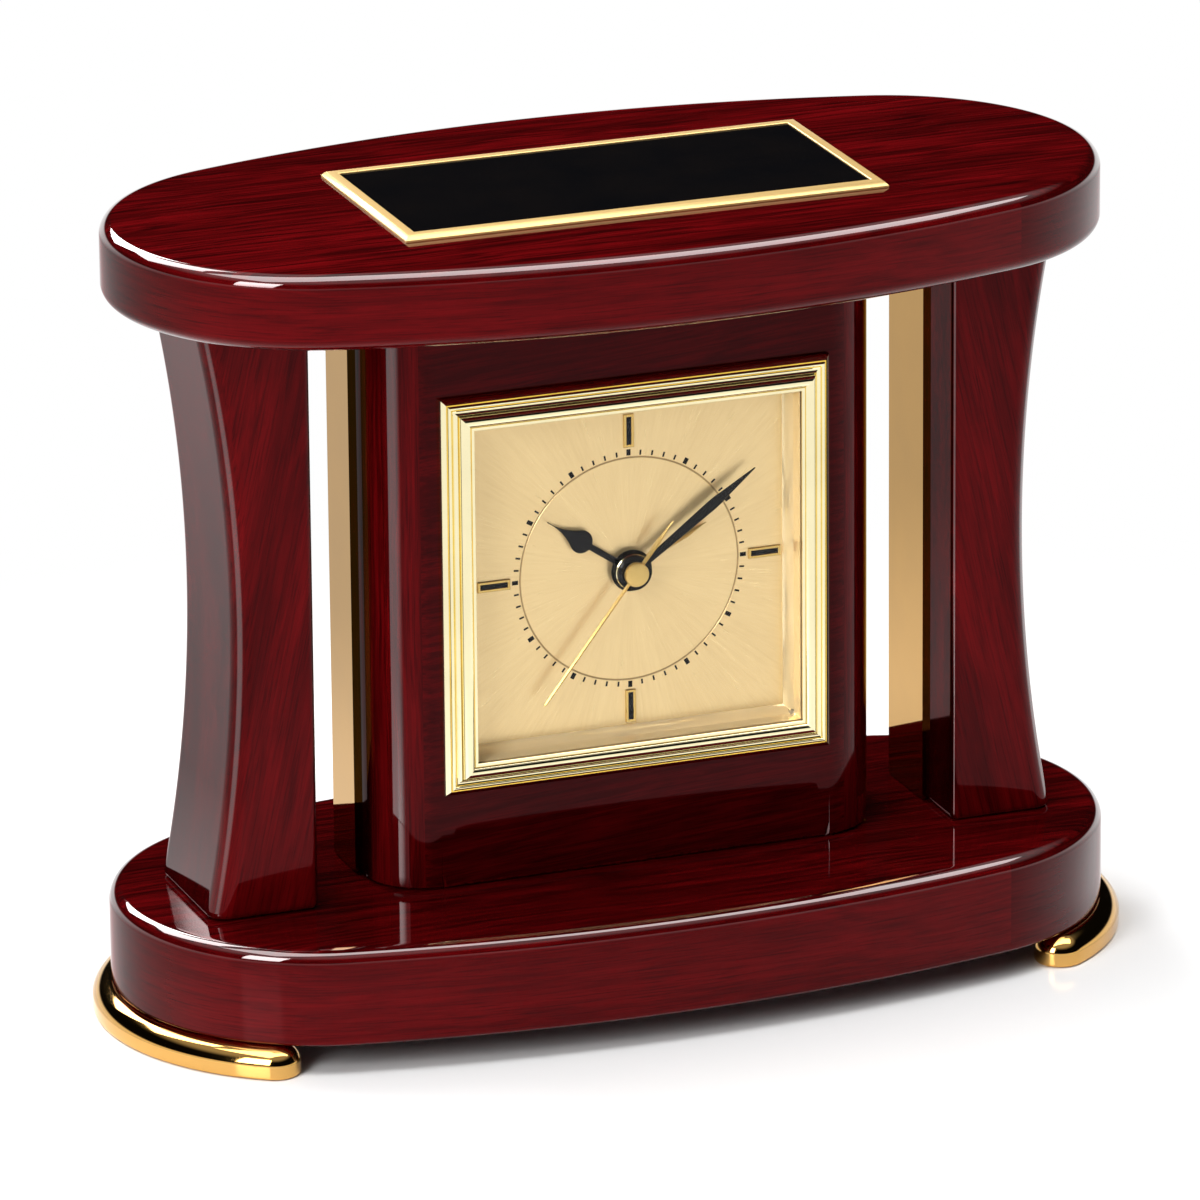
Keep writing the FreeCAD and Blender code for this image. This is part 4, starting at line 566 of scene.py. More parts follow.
@made_once
def rosewood(tree, wood, way, turn, figure, streaks, front_shade=1.0, sheen=0.6, corner=0.0, shade="none"):
    """Stained wood under clear lacquer. Seen straight on, the gloss takes the wood's red. The clear coat is
    raised as painted sheen where an outward face turns away, and as painted highlights on upper roundings
    and, by the corner's share, on upright corners. The streaks are calmer on a board's side. Painted shade
    darkens the reflections of faces across the clock's length and turns the faces that look into the gaps
    near black. On the block, painted shade darkens the front and turns the sides near black."""
    spot = tree.nodes.new("ShaderNodeTexCoord").outputs
    normal, across = parts(tree, spot["Normal"]), parts(tree, spot["Object"])["X"]
    facing = add(tree, "ShaderNodeLayerWeight", {"Blend": 0.5}).outputs["Facing"]
    outward = times(tree, across, normal["X"])
    sideways = unsigned(tree, normal["X"])
    if way == "wrap":
        streaks = remap(tree, unsigned(tree, normal["Z"]), 0.5, 0.8, 0.5 * streaks, streaks)
    look = effect(tree, "Lacquered grain", {
        "Body": opaque(wood.body_colour), "Streak": opaque(wood.streak_colour),
        "Glow": opaque(wood.glow_colour), "Figure": figure, "Streaks": streaks,
    }, grain_space(tree, way, turn, normal))
    colour = look["Color"]
    # Painted sheen and highlights: extra clear coat on outward faces that turn away, on upper roundings and
    # on upright corners
    grazing_sheen = times(tree, remap(tree, facing, 0.22, 0.75, 0.0, sheen - wood.lacquer),
                    remap(tree, outward, -0.02, -0.005))
    upper = times(tree, remap(tree, normal["Z"], 0.1, 0.4), remap(tree, normal["Z"], 0.998, 0.97))
    turned_in = unsigned(tree, times(tree, normal["X"], normal["Y"]))
    edge = remap(tree, turned_in, 0.465, 0.495, 0.0, corner, smooth=True)
    coat = plus(tree, larger(tree, grazing_sheen, larger(tree, upper, edge)), wood.lacquer)
    # Painted shade on the block: its sides turn near black, and its front and sides are darkened by a factor
    if shade == "sides":
        painted_shade = remap(tree, sideways, 0.95, 0.995, 0.0, 0.85)
        shade_share = larger(tree, painted_shade, remap(tree, normal["Y"], -0.93, -0.99))
        # The darkened colour is painted shade, not a stain of the wood
        deep = blend_colours(tree, 1.0, colour, opaque([front_shade] * 3), "MULTIPLY")
        colour = blend_colours(tree, shade_share, colour, deep)
    else:
        # Painted shade: faces turned along the clock's length get darker reflections
        painted_shade = remap(tree, sideways, 0.7, 0.98, 0.0, 0.6, smooth=True)
    # Painted shade: faces that look into the gaps turn near black
    if shade == "gaps":
        painted_shade = larger(tree, painted_shade, remap(tree, outward, -0.02, -0.06, 0.0, 0.85))
    surfaced(tree, look, {
        "Base Color": colour, "Metallic": painted_shade, "IOR": 1.5, "Specular IOR Level": 0.5,
        "Specular Tint": (0.4, 0.04, 0.05, 1.0), "Coat Weight": coat, "Coat Roughness": 0.03, "Coat IOR": 1.8,
    }, 0.06, 0.0003)


@made_once
def metal(tree, colour, smooth, dull, marks, bump=0.05, values=None):
    """Polished metal, or lacquer where the values take the metal away."""
    look = effect(tree, "Polish marks", {
        "Color": opaque(colour), "Smooth": smooth, "Dull": dull, "Marks": marks})
    surfaced(tree, look, {"Metallic": 1.0, **(values or {})}, bump)


@made_once
def plastic(tree, colour, gloss, stipple, bump=0.1, values=None):
    """Moulded plastic, rubber or another plain material that isn't polished."""
    look = effect(tree, "Moulded surface", {"Color": opaque(colour), "Gloss": gloss, "Stipple": stipple})
    surfaced(tree, look, {"Specular IOR Level": 0.5, **(values or {})}, bump, 0.0001)


@made_once
def sunburst(tree, colour, depth, gloss, metallic):
    """Dial gold, brushed outwards from the hands' axis, with painted shade darkening the groove."""
    look = effect(tree, "Sunburst brushing", {
        "Color": opaque(colour), "Depth": depth, "Gloss": gloss, "Groove": GROOVE_R,
    }, place_in_mm(tree, centre=(0.0, 0.0, DIAL_Z)))
    surfaced(tree, look, {"Metallic": metallic}, 0.02, 0.00005)


@made_once
def clear_glass(tree):
    """Thin clear glass: lamps pass through it, because it turns transparent for shadow rays."""
    glass = add(tree, "ShaderNodeBsdfPrincipled", {
        "Base Color": (1.0, 1.0, 1.0, 1.0), "Roughness": 0.0, "IOR": 1.12, "Transmission Weight": 1.0,
        "Specular IOR Level": 0.5})
    clear = tree.nodes.new("ShaderNodeBsdfTransparent")
    shadow = tree.nodes.new("ShaderNodeLightPath").outputs["Is Shadow Ray"]
    mix = add(tree, "ShaderNodeMixShader", {0: shadow, 1: glass.outputs[0], 2: clear.outputs[0]})
    add(tree, "ShaderNodeOutputMaterial", {"Surface": mix.outputs[0]})


@made_once
def pale_floor(tree, colour):
    """White floor: plain and lit near the clock, so that it keeps the shadow, and further out plain white
    to the camera, to gloss and through glass."""
    where = tree.nodes.new("ShaderNodeTexCoord").outputs["Object"]
    far = add(tree, "ShaderNodeVectorMath", {0: where}, operation="LENGTH").outputs["Value"]
    path = tree.nodes.new("ShaderNodeLightPath").outputs
    seen = larger(tree, path["Is Glossy Ray"], path["Is Transmission Ray"])
    seen = larger(tree, path["Is Camera Ray"], seen)
    cloud = remap(tree, noise(tree, where, 3.0, 3.0), 0.3, 0.7, 0.0, 0.03)
    paint = blend_colours(tree, cloud, opaque(colour), (0.8, 0.8, 0.8, 1))
    lit = add(tree, "ShaderNodeBsdfPrincipled", {
        "Base Color": paint, "Roughness": 0.16, "Specular IOR Level": 0.4})
    white = add(tree, "ShaderNodeEmission", {"Color": (1, 1, 1, 1), "Strength": 1.0})
    share = times(tree, remap(tree, far, 0.12, 0.33, smooth=True), seen)
    mix = add(tree, "ShaderNodeMixShader", {0: share, 1: lit.outputs[0], 2: white.outputs[0]})
    add(tree, "ShaderNodeOutputMaterial", {"Surface": mix.outputs[0]})


def black_lacquer(settings):
    """Glossy lacquer of the hour hand, the minute hand and the markers' bars."""
    return metal("Black lacquer", settings.hand_colour, 0.12, 0.2, 0.3, 0.02,
                 {"Metallic": 0.0, "Specular IOR Level": 0.2})


def gold(settings):
    """Polished gold of the bezel and the bush."""
    return metal("Polished gold", settings.gold_colour, settings.gold_gloss, settings.gold_gloss + 0.05, 0.25)


# Settings

COLOUR = {"subtype": "COLOR", "size": 3, "min": 0, "max": 1}
SHARE = {"subtype": "FACTOR", "min": 0}
POWER = {"unit": "POWER", "min": 0}


class ClockWood(bpy.types.PropertyGroup):
    edge_radius: bpy.props.FloatProperty(
        name="Board rounding", description="Radius of the boards' rounded edges", default=0.0034, min=0.001,
        max=0.008, unit="LENGTH")
    body_colour: bpy.props.FloatVectorProperty(
        name="Wood", description="Main colour of the rosewood", default=(0.062, 0.0008, 0.0013), **COLOUR)
    streak_colour: bpy.props.FloatVectorProperty(
        name="Streaks", description="Colour of the dark grain lines", default=(0.006, 0.0002, 0.0004),
        **COLOUR)
    glow_colour: bpy.props.FloatVectorProperty(
        name="Figure", description="Colour of the lighter figure", default=(0.14, 0.0018, 0.003), **COLOUR)
    lacquer: bpy.props.FloatProperty(
        name="Lacquer", description="Weight of the clear top coat", default=0.04, max=1, **SHARE)


class ClockGold(bpy.types.PropertyGroup):
    gold_colour: bpy.props.FloatVectorProperty(
        name="Polished gold", description="Colour of the bezel and the bush", default=(1.0, 0.9, 0.57),
        **COLOUR)
    inner_colour: bpy.props.FloatVectorProperty(
        name="Inner frame", description="Colour of the frame behind the lens", default=(0.95, 0.79, 0.49),
        **COLOUR)
    hand_colour: bpy.props.FloatVectorProperty(
        name="Gold hands", description="Colour of the second and alarm hands and the marker frames",
        default=(0.66, 0.45, 0.15), **COLOUR)
    foot_colour: bpy.props.FloatVectorProperty(
        name="Feet", description="Colour of the feet", default=(0.74, 0.42, 0.12), **COLOUR)
    mirror_colour: bpy.props.FloatVectorProperty(
        name="Mirror strips", description="Colour of the mirror strips", default=(0.42, 0.215, 0.02),
        **COLOUR)
    plate_colour: bpy.props.FloatVectorProperty(
        name="Plate rim", description="Colour of the plate's rim", default=(0.76, 0.51, 0.19), **COLOUR)
    gold_gloss: bpy.props.FloatProperty(
        name="Gold roughness", description="Lowest roughness of the polished gold", default=0.05, max=0.5,
        **SHARE)


class ClockDial(bpy.types.PropertyGroup):
    dial_colour: bpy.props.FloatVectorProperty(
        name="Dial", description="Colour of the brushed dial", default=(0.87, 0.66, 0.34), **COLOUR)
    brushing: bpy.props.FloatProperty(
        name="Brushing", description="Depth of the sunburst brushing", default=0.22, max=1, **SHARE)
    tick_length: bpy.props.FloatProperty(
        name="Minute tick", description="Length of a minute tick", default=0.0012, min=0.0005, max=0.002,
        unit="LENGTH")
    tick_width: bpy.props.FloatProperty(
        name="Tick width", description="Width of a minute tick", default=0.00044, min=0.0001, max=0.001,
        unit="LENGTH")
    hand_colour: bpy.props.FloatVectorProperty(
        name="Hands", description="Colour of the lacquered hands", default=(0.005, 0.005, 0.0055), **COLOUR)


class ClockStage(bpy.types.PropertyGroup):
    floor_colour: bpy.props.FloatVectorProperty(
        name="Floor", description="Colour of the floor", default=(0.95, 0.95, 0.95), **COLOUR)
    top_power: bpy.props.FloatProperty(
        name="Top light", description="Power of the overhead softbox", default=20.0, **POWER)
    rim_power: bpy.props.FloatProperty(
        name="Rim light", description="Power of each of the two softboxes behind", default=7.0, **POWER)
    key_power: bpy.props.FloatProperty(
        name="Key light", description="Power of the softbox at the front left", default=12.0, **POWER)


# Woodwork

def oval_spine(half_w, half_d):
    """Oval of four tangent arcs: the arcs' centres, the outward normals and the radii. The end arcs turn
    about points on the long axis, and the side arcs about points on the short one."""
    per_end, per_side = 72, 96
    end_x = half_w - END_R
    side_r = (end_x ** 2 + half_d ** 2 - END_R ** 2) / (2 * (half_d - END_R))
    drop = side_r - half_d
    half = math.pi / 2 - math.atan2(end_x, drop)
    spans = [(-half, half, per_end, (end_x, 0), END_R), (half, math.pi - half, per_side, (0, -drop), side_r),
             (math.pi - half, math.pi + half, per_end, (-end_x, 0), END_R),
             (math.pi + half, math.tau - half, per_side, (0, drop), side_r)]
    angles = np.concatenate([np.linspace(a, b, n, endpoint=False) for a, b, n, _, _ in spans])
    spine = np.concatenate([np.tile(c, (n, 1)) for _, _, n, c, _ in spans])
    reach = np.concatenate([np.full(n, r) for _, _, n, _, r in spans])
    return spine, np.stack([np.cos(angles), np.sin(angles)], axis=1), reach


def board_surface(half_w, half_d, low, high, radius, under):
    """Oval board: a quarter circle at the bottom edge, an upright side and a quarter circle at the top,
    with one narrow flat ring inside each rounding."""
    bend, bend_under = radius * (1 - math.sqrt(0.5)), under * (1 - math.sqrt(0.5))
    profile = np.concatenate([
        line((under + 0.6, low)), bow((under, low), (bend_under, low + bend_under), (0, low + under), 12),
        bow((0, high - radius), (bend, high - bend), (radius, high), 12), line((radius + 0.6, high))])
    spine, normals, reach = oval_spine(half_w, half_d)
    return wrapped(stacked(spine, normals, reach, profile))


def eased(grid, middle_x, middle_y, half_x, half_y):
    """Rounds the foot of an upright: within the radius above the base board the section shrinks by the
    radius less the height of a quarter circle."""
    grid = np.array(grid, dtype=float)
    low = np.clip(FOOT_EASE - (grid[..., 2] - BOARD_TOP), 0, FOOT_EASE)
    inset = FOOT_EASE - np.sqrt(FOOT_EASE ** 2 - low ** 2)
    grid[..., 0] = middle_x + (grid[..., 0] - middle_x) * (1 - inset / half_x)
    grid[..., 1] = middle_y + (grid[..., 1] - middle_y) * (1 - inset / half_y)
    return grid


def column_surface(side):
    """Column: at each height a rounded rectangle, whose outer face stands on the arc that is narrowest
    half way up. A corner's point is its centre plus the radius times its direction, and a narrow flat
    leads in and out of each corner."""
    inner, outer, half_d = COLUMN_LOW[0], COLUMN_HIGH[0], COLUMN_HIGH[1]
    arc = bow((outer, BOARD_TOP), (outer - COLUMN_WAIST, DIAL_Z), (outer, BOARD_UNDER), 81)
    close = DIAL_Z + (BOARD_UNDER - BOARD_TOP) / 2 * np.sin(np.linspace(-math.pi / 2, math.pi / 2, 81))
    arc = np.stack([np.interp(close, arc[:, 1], arc[:, 0]), close], axis=1)
    corners = [(1, -1, COLUMN_OUTER_R, -90), (1, 1, COLUMN_OUTER_R, 0), (-1, 1, COLUMN_INNER_R, 90),
               (-1, -1, COLUMN_INNER_R, 180)]
    columns = []
    for out, deep, radius, start in corners:
        angle = np.radians(np.linspace(start, start + 90, 13))
        centre_x = (arc[:, :1] - radius) if out > 0 else np.full((len(arc), 1), inner + radius)
        x = centre_x + radius * np.cos(angle)
        y = np.broadcast_to(deep * (half_d - radius) + radius * np.sin(angle), x.shape)
        first, last = np.radians(start - 90), np.radians(start + 180)
        lead_x, lead_y = x[:, :1] + FLAT_RIM * np.cos(first), y[:, :1] + FLAT_RIM * np.sin(first)
        trail_x, trail_y = x[:, -1:] + FLAT_RIM * np.cos(last), y[:, -1:] + FLAT_RIM * np.sin(last)
        columns.append(np.dstack([np.hstack([lead_x, x, trail_x]), np.hstack([lead_y, y, trail_y])]))
    section = np.concatenate(columns, axis=1)
    height = np.broadcast_to(arc[:, 1:2], section.shape[:2])
    grid = eased(np.dstack([section[..., 0], section[..., 1], height]), (inner + outer) / 2, 0.0,
                 (outer - inner) / 2, half_d)
    grid[..., 0] *= side
    return surface(grid, wrap_cols=True)


def block_surfaces():
    """Centre block: side walls with rounded corners, and one sheet that runs from the front face into the
    square pocket, through the round bore and out to the back face."""
    count = 40
    half_w = BLOCK_HIGH[0]
    flat_front, flat_back = half_w - BLOCK_FRONT_R, half_w - BLOCK_BACK_R
    front = np.radians(np.linspace(-90, 0, 25))
    back = np.radians(np.linspace(0, 90, 9))
    front_y = BLOCK_FRONT + BLOCK_FRONT_R * (1 + np.sin(front))
    back_y = BLOCK_BACK - BLOCK_BACK_R * (1 - np.sin(back))
    wall = np.concatenate([
        np.stack([flat_front + BLOCK_FRONT_R * np.cos(front), front_y], 1),
        line((half_w, BLOCK_FRONT + BLOCK_FRONT_R + 0.5), (half_w, BLOCK_BACK - BLOCK_BACK_R - 0.4)),
        np.stack([flat_back + BLOCK_BACK_R * np.cos(back), back_y], 1)])
    half_h = (BOARD_UNDER - BOARD_TOP) / 2
    middle_y, half_d = (BLOCK_FRONT + BLOCK_BACK) / 2, (BLOCK_BACK - BLOCK_FRONT) / 2
    height = DIAL_Z + half_h * np.sin(np.linspace(-math.pi / 2, math.pi / 2, count + 1))
    walls = []
    for side in (-1, 1):
        x = np.broadcast_to(side * wall[:, 0], (count + 1, len(wall)))
        y = np.broadcast_to(wall[:, 1], x.shape)
        wall_grid = np.dstack([x, y, np.broadcast_to(height[:, None], x.shape)])
        walls.append(surface(eased(wall_grid, 0.0, middle_y, half_w, half_d)))
    steps = (0.0, 0.1, 0.3, 0.7, 1.2, 1.8)
    sheet = np.stack([square_ring(flat_front - d, half_h - d, BLOCK_FRONT, count) for d in steps] + [
        square_ring(POCKET_HALF + 0.25, POCKET_HALF + 0.25, BLOCK_FRONT, count),
        square_ring(POCKET_HALF, POCKET_HALF, BLOCK_FRONT + 0.25, count),
        square_ring(POCKET_HALF, POCKET_HALF, POCKET_FLOOR, count),
        round_ring(BORE_R, POCKET_FLOOR, count),
        round_ring(BORE_R, BLOCK_BACK - 0.7, count),
        round_ring(BORE_R + 0.2, BLOCK_BACK - 0.2, count),
        round_ring(BORE_R + 0.7, BLOCK_BACK, count),
    ] + [square_ring(flat_back - d, half_h - d, BLOCK_BACK, count) for d in steps[::-1]])
    for row in (0, -1):
        sheet[row, :, 2] = DIAL_Z + half_h * np.sin((sheet[row, :, 2] - DIAL_Z) / half_h * math.pi / 2)
    return walls + [surface(eased(sheet, 0.0, middle_y, half_w, half_d), wrap_cols=True)]


def slab_surface(low, high, bevel):
    """Bevelled slab: two rings on each of its long axis's ends, set in by the bevel."""
    middle, half = (low + high) / 2, (high - low) / 2
    profile = line((bevel, -half[2]), (0, -half[2] + bevel), (0, half[2] - bevel), (bevel, half[2]))
    return surface(framed(half[0], half[1], profile) + middle, wrap_cols=True)


class CLOCK_OT_boards(bpy.types.Operator):
    """Builds the oval base board and top board"""
    bl_idname = "clock.boards"
    bl_label = "Boards"

    def execute(self, context):
        wood = context.scene.clock_wood
        radius = wood.edge_radius / MM
        # The boards' lacquer carries painted highlights on the upper roundings and painted sheen where the
        # ends turn away
        material = rosewood("Rosewood, grain along the boards", wood, "wrap", (0, 0, 0), 0.35, 0.8,
                            sheen=0.15)
        for name, low, high, under in (("base_board", BASE_LOW, BASE_HIGH, BASE_UNDER_R),
                                       ("top_board", TOP_LOW, TOP_HIGH, radius)):
            shape = board_surface(high[0], high[1], low[2], high[2], radius, under)
            piece(name + "_lacquered", [shape], "frame", "rosewood", material, name)
        return {"FINISHED"}


class CLOCK_OT_columns(bpy.types.Operator):
    """Builds the two waisted columns"""
    bl_idname = "clock.columns"
    bl_label = "Columns"

    def execute(self, context):
        wood = context.scene.clock_wood
        for side, name, lean in ((-1, "left_column", 77), (1, "right_column", 103)):
            # Painted shade turns the faces that look into the gaps near black, and painted highlights run up
            # the upright corners
            material = rosewood("Rosewood, " + name.replace("_", " "), wood, "plain", (0, lean, 0), 0.4, 0.36,
                                sheen=0.12, corner=1.0, shade="gaps")
            piece(name + "_lacquered", [column_surface(side)], "frame", "rosewood", material, name)
        return {"FINISHED"}


class CLOCK_OT_block(bpy.types.Operator):
    """Builds the centre block with its square pocket and its bore"""
    bl_idname = "clock.block"
    bl_label = "Centre block"

    def execute(self, context):
        wood = context.scene.clock_wood
        # 0.55 darkens the block's front and sides as painted shade; 1.0 puts painted highlights on its front
        # corners
        material = rosewood("Rosewood, centre block", wood, "block", (0, 90, 0), 0.45, 0.6, 0.55, 0.04, 1.0,
                            "sides")
        piece("clock_block_lacquered", block_surfaces(), "frame", "rosewood", material, "clock_block")
        return {"FINISHED"}


class CLOCK_OT_mirrors(bpy.types.Operator):
    """Builds the four gold mirror strips"""
    bl_idname = "clock.mirrors"
    bl_label = "Mirror strips"

    def execute(self, context):
        material = metal("Gold mirror", context.scene.clock_gold.mirror_colour, 0.02, 0.05, 0.15, 0.01)
        for name in ("left_column_mirror", "right_column_mirror", "left_block_mirror", "right_block_mirror"):
            low, high = node_box(name)
            piece(name + "_strip", [slab_surface(low, high, 0.25)], "frame", "gold_mirror", material, name)
        return {"FINISHED"}


def foot_surface(side):
    """Crescent foot: the spine is the middle line, walked out along the outer side, round one tip, back
    along the inner side and round the other; the section's inset is taken along the normals."""
    half = math.radians(FOOT_HALF_ANGLE)
    along, tip = np.linspace(-half, half, 73)[:-1], np.linspace(0, math.pi, 25)[:-1]
    back = along + half
    angles = np.concatenate([along, half + tip, half + math.pi - back, math.tau - half - math.pi + tip])
    spots = np.concatenate([along, np.full(24, half), half - back, np.full(24, -half)])
    normals = np.stack([np.cos(angles), np.sin(angles)], axis=1)
    spine = FOOT_LINE_R * np.stack([np.cos(spots), np.sin(spots)], axis=1)
    profile = np.concatenate([
        line((1.4, 0)), bow((0.8, 0), (0.234, 0.234), (0, 0.8), 7), line((0, 3.3)),
        bow((0, 3.4), (1.408, 5.776), (4.4, 7.0), 16)])
    grid = stacked(spine, normals, np.full(len(angles), FOOT_HALF_W), profile)
    grid[..., 0] = side * (FOOT_CENTRE_X + grid[..., 0])
    return surface(grid, wrap_cols=True)


class CLOCK_OT_feet(bpy.types.Operator):
    """Builds the two crescent feet"""
    bl_idname = "clock.feet"
    bl_label = "Feet"

    def execute(self, context):
        material = metal("Deep gold", context.scene.clock_gold.foot_colour, 0.06, 0.1, 0.2)
        for side, name in ((-1, "left_foot"), (1, "right_foot")):
            piece(name + "_gilt", [foot_surface(side)], "frame", "polished_gold", material, name)
        return {"FINISHED"}


class CLOCK_OT_plate(bpy.types.Operator):
    """Builds the engraving plate and its bare black field"""
    bl_idname = "clock.plate"
    bl_label = "Engraving plate"

    def execute(self, context):
        settings = context.scene.clock_gold
        low, high, dip = PLATE_LOW[2], PLATE_HIGH[2], FIELD_LOW[2]
        rim = PLATE_HIGH[0] - FIELD_HIGH[0]
        profile = line((0, low), (0, high - 1.0), (0.95, high - 0.05), (1.1, high), (rim - 0.15, high),
                       (rim, high - 0.12), (rim, dip), (rim + 1, dip - 0.2), (rim + 1, low))
        grid = framed(PLATE_HIGH[0], PLATE_HIGH[1], profile)
        material = metal("Plate gold", settings.plate_colour, 0.3, 0.38, 0.3, values={"Metallic": 0.45})
        piece("engraving_plate_bevelled", [closed(grid)], "frame", "plate_gold", material, "engraving_plate")
        field = metal("Black field", (0.002, 0.002, 0.0025), 0.06, 0.1, 0.3, 0.01,
                      {"Metallic": 0.0, "Specular IOR Level": 0.1})
        piece("engraving_field_glossy", [slab_surface(FIELD_LOW, FIELD_HIGH, 0.08)], "frame", "black_field",
              field, "engraving_field")
        return {"FINISHED"}


# Insert

def bezel_profile():
    """Moulding from the outside in: a bevel, a bead, a cove and a ridge, each behind a fine groove, and
    the lip, then down the skirt."""
    return np.concatenate([
        line((0, 0), (0, 1.3), (0.05, 1.4), (1.16, 2.4), (1.3, 1.95)),
        bow((1.46, 2.5), (1.95, 2.9), (2.38, 2.6), 9), line((2.5, 2.1)),
        bow((2.64, 2.52), (3.2, 2.4), (3.78, 2.82), 9), line((3.92, 2.35)),
        bow((4.06, 3.05), (5.3, 4.2), (6.7, 3.56), 17), line((6.8, 3.05)),
        line((6.92, 3.5), (LIP_IN - 0.05, 3.5), (LIP_IN, 3.45), (LIP_IN, 3.0), (SKIRT_IN, 3.0),
             (SKIRT_IN, -SKIRT_DEPTH), (SKIRT_IN - SKIRT_WALL, -SKIRT_DEPTH), (SKIRT_IN - SKIRT_WALL, 0))])


class CLOCK_OT_bezel(bpy.types.Operator):
    """Builds the moulded bezel, the inner frame and the lens"""
    bl_idname = "clock.bezel"
    bl_label = "Bezel and lens"

    def execute(self, context):
        settings = context.scene.clock_gold
        grid = upright(framed(BEZEL_HALF, BEZEL_HALF, bezel_profile()))
        piece("bezel_moulded", [closed(grid)], "insert", "polished_gold", gold(settings), "bezel",
              mitred=True)
        outer, wall = SKIRT_IN + 0.1, LIP_IN + 0.1
        inner = line((outer, INNER_TOP), (wall, INNER_TOP), (wall + 0.2, -1.45), (wall + 0.24, -1.55),
                     (DIAL_OPENING, INNER_FOOT), (outer, INNER_FOOT))
        grid = upright(framed(BEZEL_HALF, BEZEL_HALF, inner))
        pale = metal("Pale inner gold", settings.inner_colour, 0.05, 0.1, 0.2, 0.004, {"Metallic": 0.62})
        piece("dial_frame_polished", [closed(grid)], "insert", "polished_gold", pale, "dial_frame",
              mitred=True)
        half, low, high = LENS_HIGH[0], LENS_LOW[1], LENS_HIGH[1]
        rings = line((0, BLOCK_FRONT - high), (0, BLOCK_FRONT - low))
        pane = surface(upright(framed(half, half, rings)), wrap_cols=True)
        piece("lens_clear", [pane], "insert", "clear_lens", clear_glass("Clear lens"), "lens")
        return {"FINISHED"}


class CLOCK_OT_dial(bpy.types.Operator):
    """Builds the brushed dial with its groove, the minute ticks and the four markers"""
    bl_idname = "clock.dial"
    bl_label = "Dial"

    def execute(self, context):
        settings = context.scene.clock_dial
        trim = metal("Marker gold", context.scene.clock_gold.hand_colour, 0.08, 0.14, 0.2)
        count, half = 48, DIAL_HIGH[0]
        y, cut = DIAL_FRONT, DIAL_FRONT + 0.08
        rings = [round_ring(r, at, count) for r, at in (
            (2.7, DIAL_BACK), (2.7, y + 0.1), (2.8, y), (GROOVE_R - 0.22, y), (GROOVE_R - 0.12, cut),
            (GROOVE_R + 0.12, cut), (GROOVE_R + 0.22, y), (35.0, y))]
        rings += [square_ring(half - 0.1, half - 0.1, y, count), square_ring(half, half, y + 0.1, count),
                  square_ring(half, half, DIAL_BACK, count)]
        brushed = sunburst("Brushed gold dial", settings.dial_colour, settings.brushing, 0.3, 0.75)
        piece("dial_brushed", [closed(np.stack(rings))], "insert", "dial_gold", brushed, "dial")
        black = metal("Printed black", settings.hand_colour, 0.35, 0.45, 0.2, 0.02,
                      {"Metallic": 0.0, "Specular IOR Level": 0.15})
        piece("minute_ticks", self.ticks(settings), "insert", "black_lacquer", black)
        frames, bars = [], []
        ring = line((0, 0), (0, 0.42), (0.08, 0.5), (BATON_BORDER - 0.08, 0.5), (BATON_BORDER, 0.42),
                    (BATON_BORDER, 0))
        fill = line((BATON_BORDER, 0), (BATON_BORDER, 0.31), (BATON_BORDER + 0.04, 0.35))
        for quarter in range(4):
            frames.append(closed(self.baton(ring, quarter)))
            bars.append(surface(self.baton(fill, quarter), wrap_cols=True))
        piece("marker_frames_polished", frames, "insert", "polished_gold", trim, "marker_frames")
        enamel = black_lacquer(settings)
        piece("marker_bars_lacquered", bars, "insert", "black_lacquer", enamel, "marker_bars")
        return {"FINISHED"}

    def baton(self, profile, quarter):
        """Profile carried round a marker's rectangle, laid on the dial and turned to its quarter."""
        grid = framed(BATON_WIDTH / 2, (BATON_OUT_R - BATON_IN_R) / 2, profile)
        middle = (BATON_IN_R + BATON_OUT_R) / 2
        flat = np.stack([grid[..., 0], DIAL_FRONT - grid[..., 2], grid[..., 1] + middle], axis=-1)
        return clockwise(flat, 90 * quarter)

    def ticks(self, settings):
        """Sixty printed strokes: one thin box turned about the dial's centre by six degrees at a time,
        wider and longer at every fifth."""
        corners = np.array([(-1, 0), (1, 0), (1, 1), (-1, 1)], dtype=float)
        turn = np.radians(6.0 * np.arange(60))[:, None]
        fifth = (np.arange(60) % 5 == 0)[:, None]
        width = np.where(fifth, 2.3, 1.0) * settings.tick_width / MM / 2
        length = np.where(fifth, 1.25, 1.0) * settings.tick_length / MM
        u, v = corners[:, 0] * width, TICK_R + corners[:, 1] * length
        x = u * np.cos(turn) + v * np.sin(turn)
        z = DIAL_Z - u * np.sin(turn) + v * np.cos(turn)
        low = np.stack([x, np.full_like(x, DIAL_FRONT), z], axis=-1)
        high = np.stack([x, np.full_like(x, DIAL_FRONT - PRINT_THICK), z], axis=-1)
        points = np.concatenate([low, high], axis=1).reshape(-1, 3)
        box = np.array([(0, 1, 5, 4), (1, 2, 6, 5), (2, 3, 7, 6), (3, 0, 4, 7), (4, 5, 6, 7), (3, 2, 1, 0)])
        faces = (8 * np.arange(60)[:, None, None] + box[None]).reshape(-1, 4)
        return [(points, faces)]


# Hands

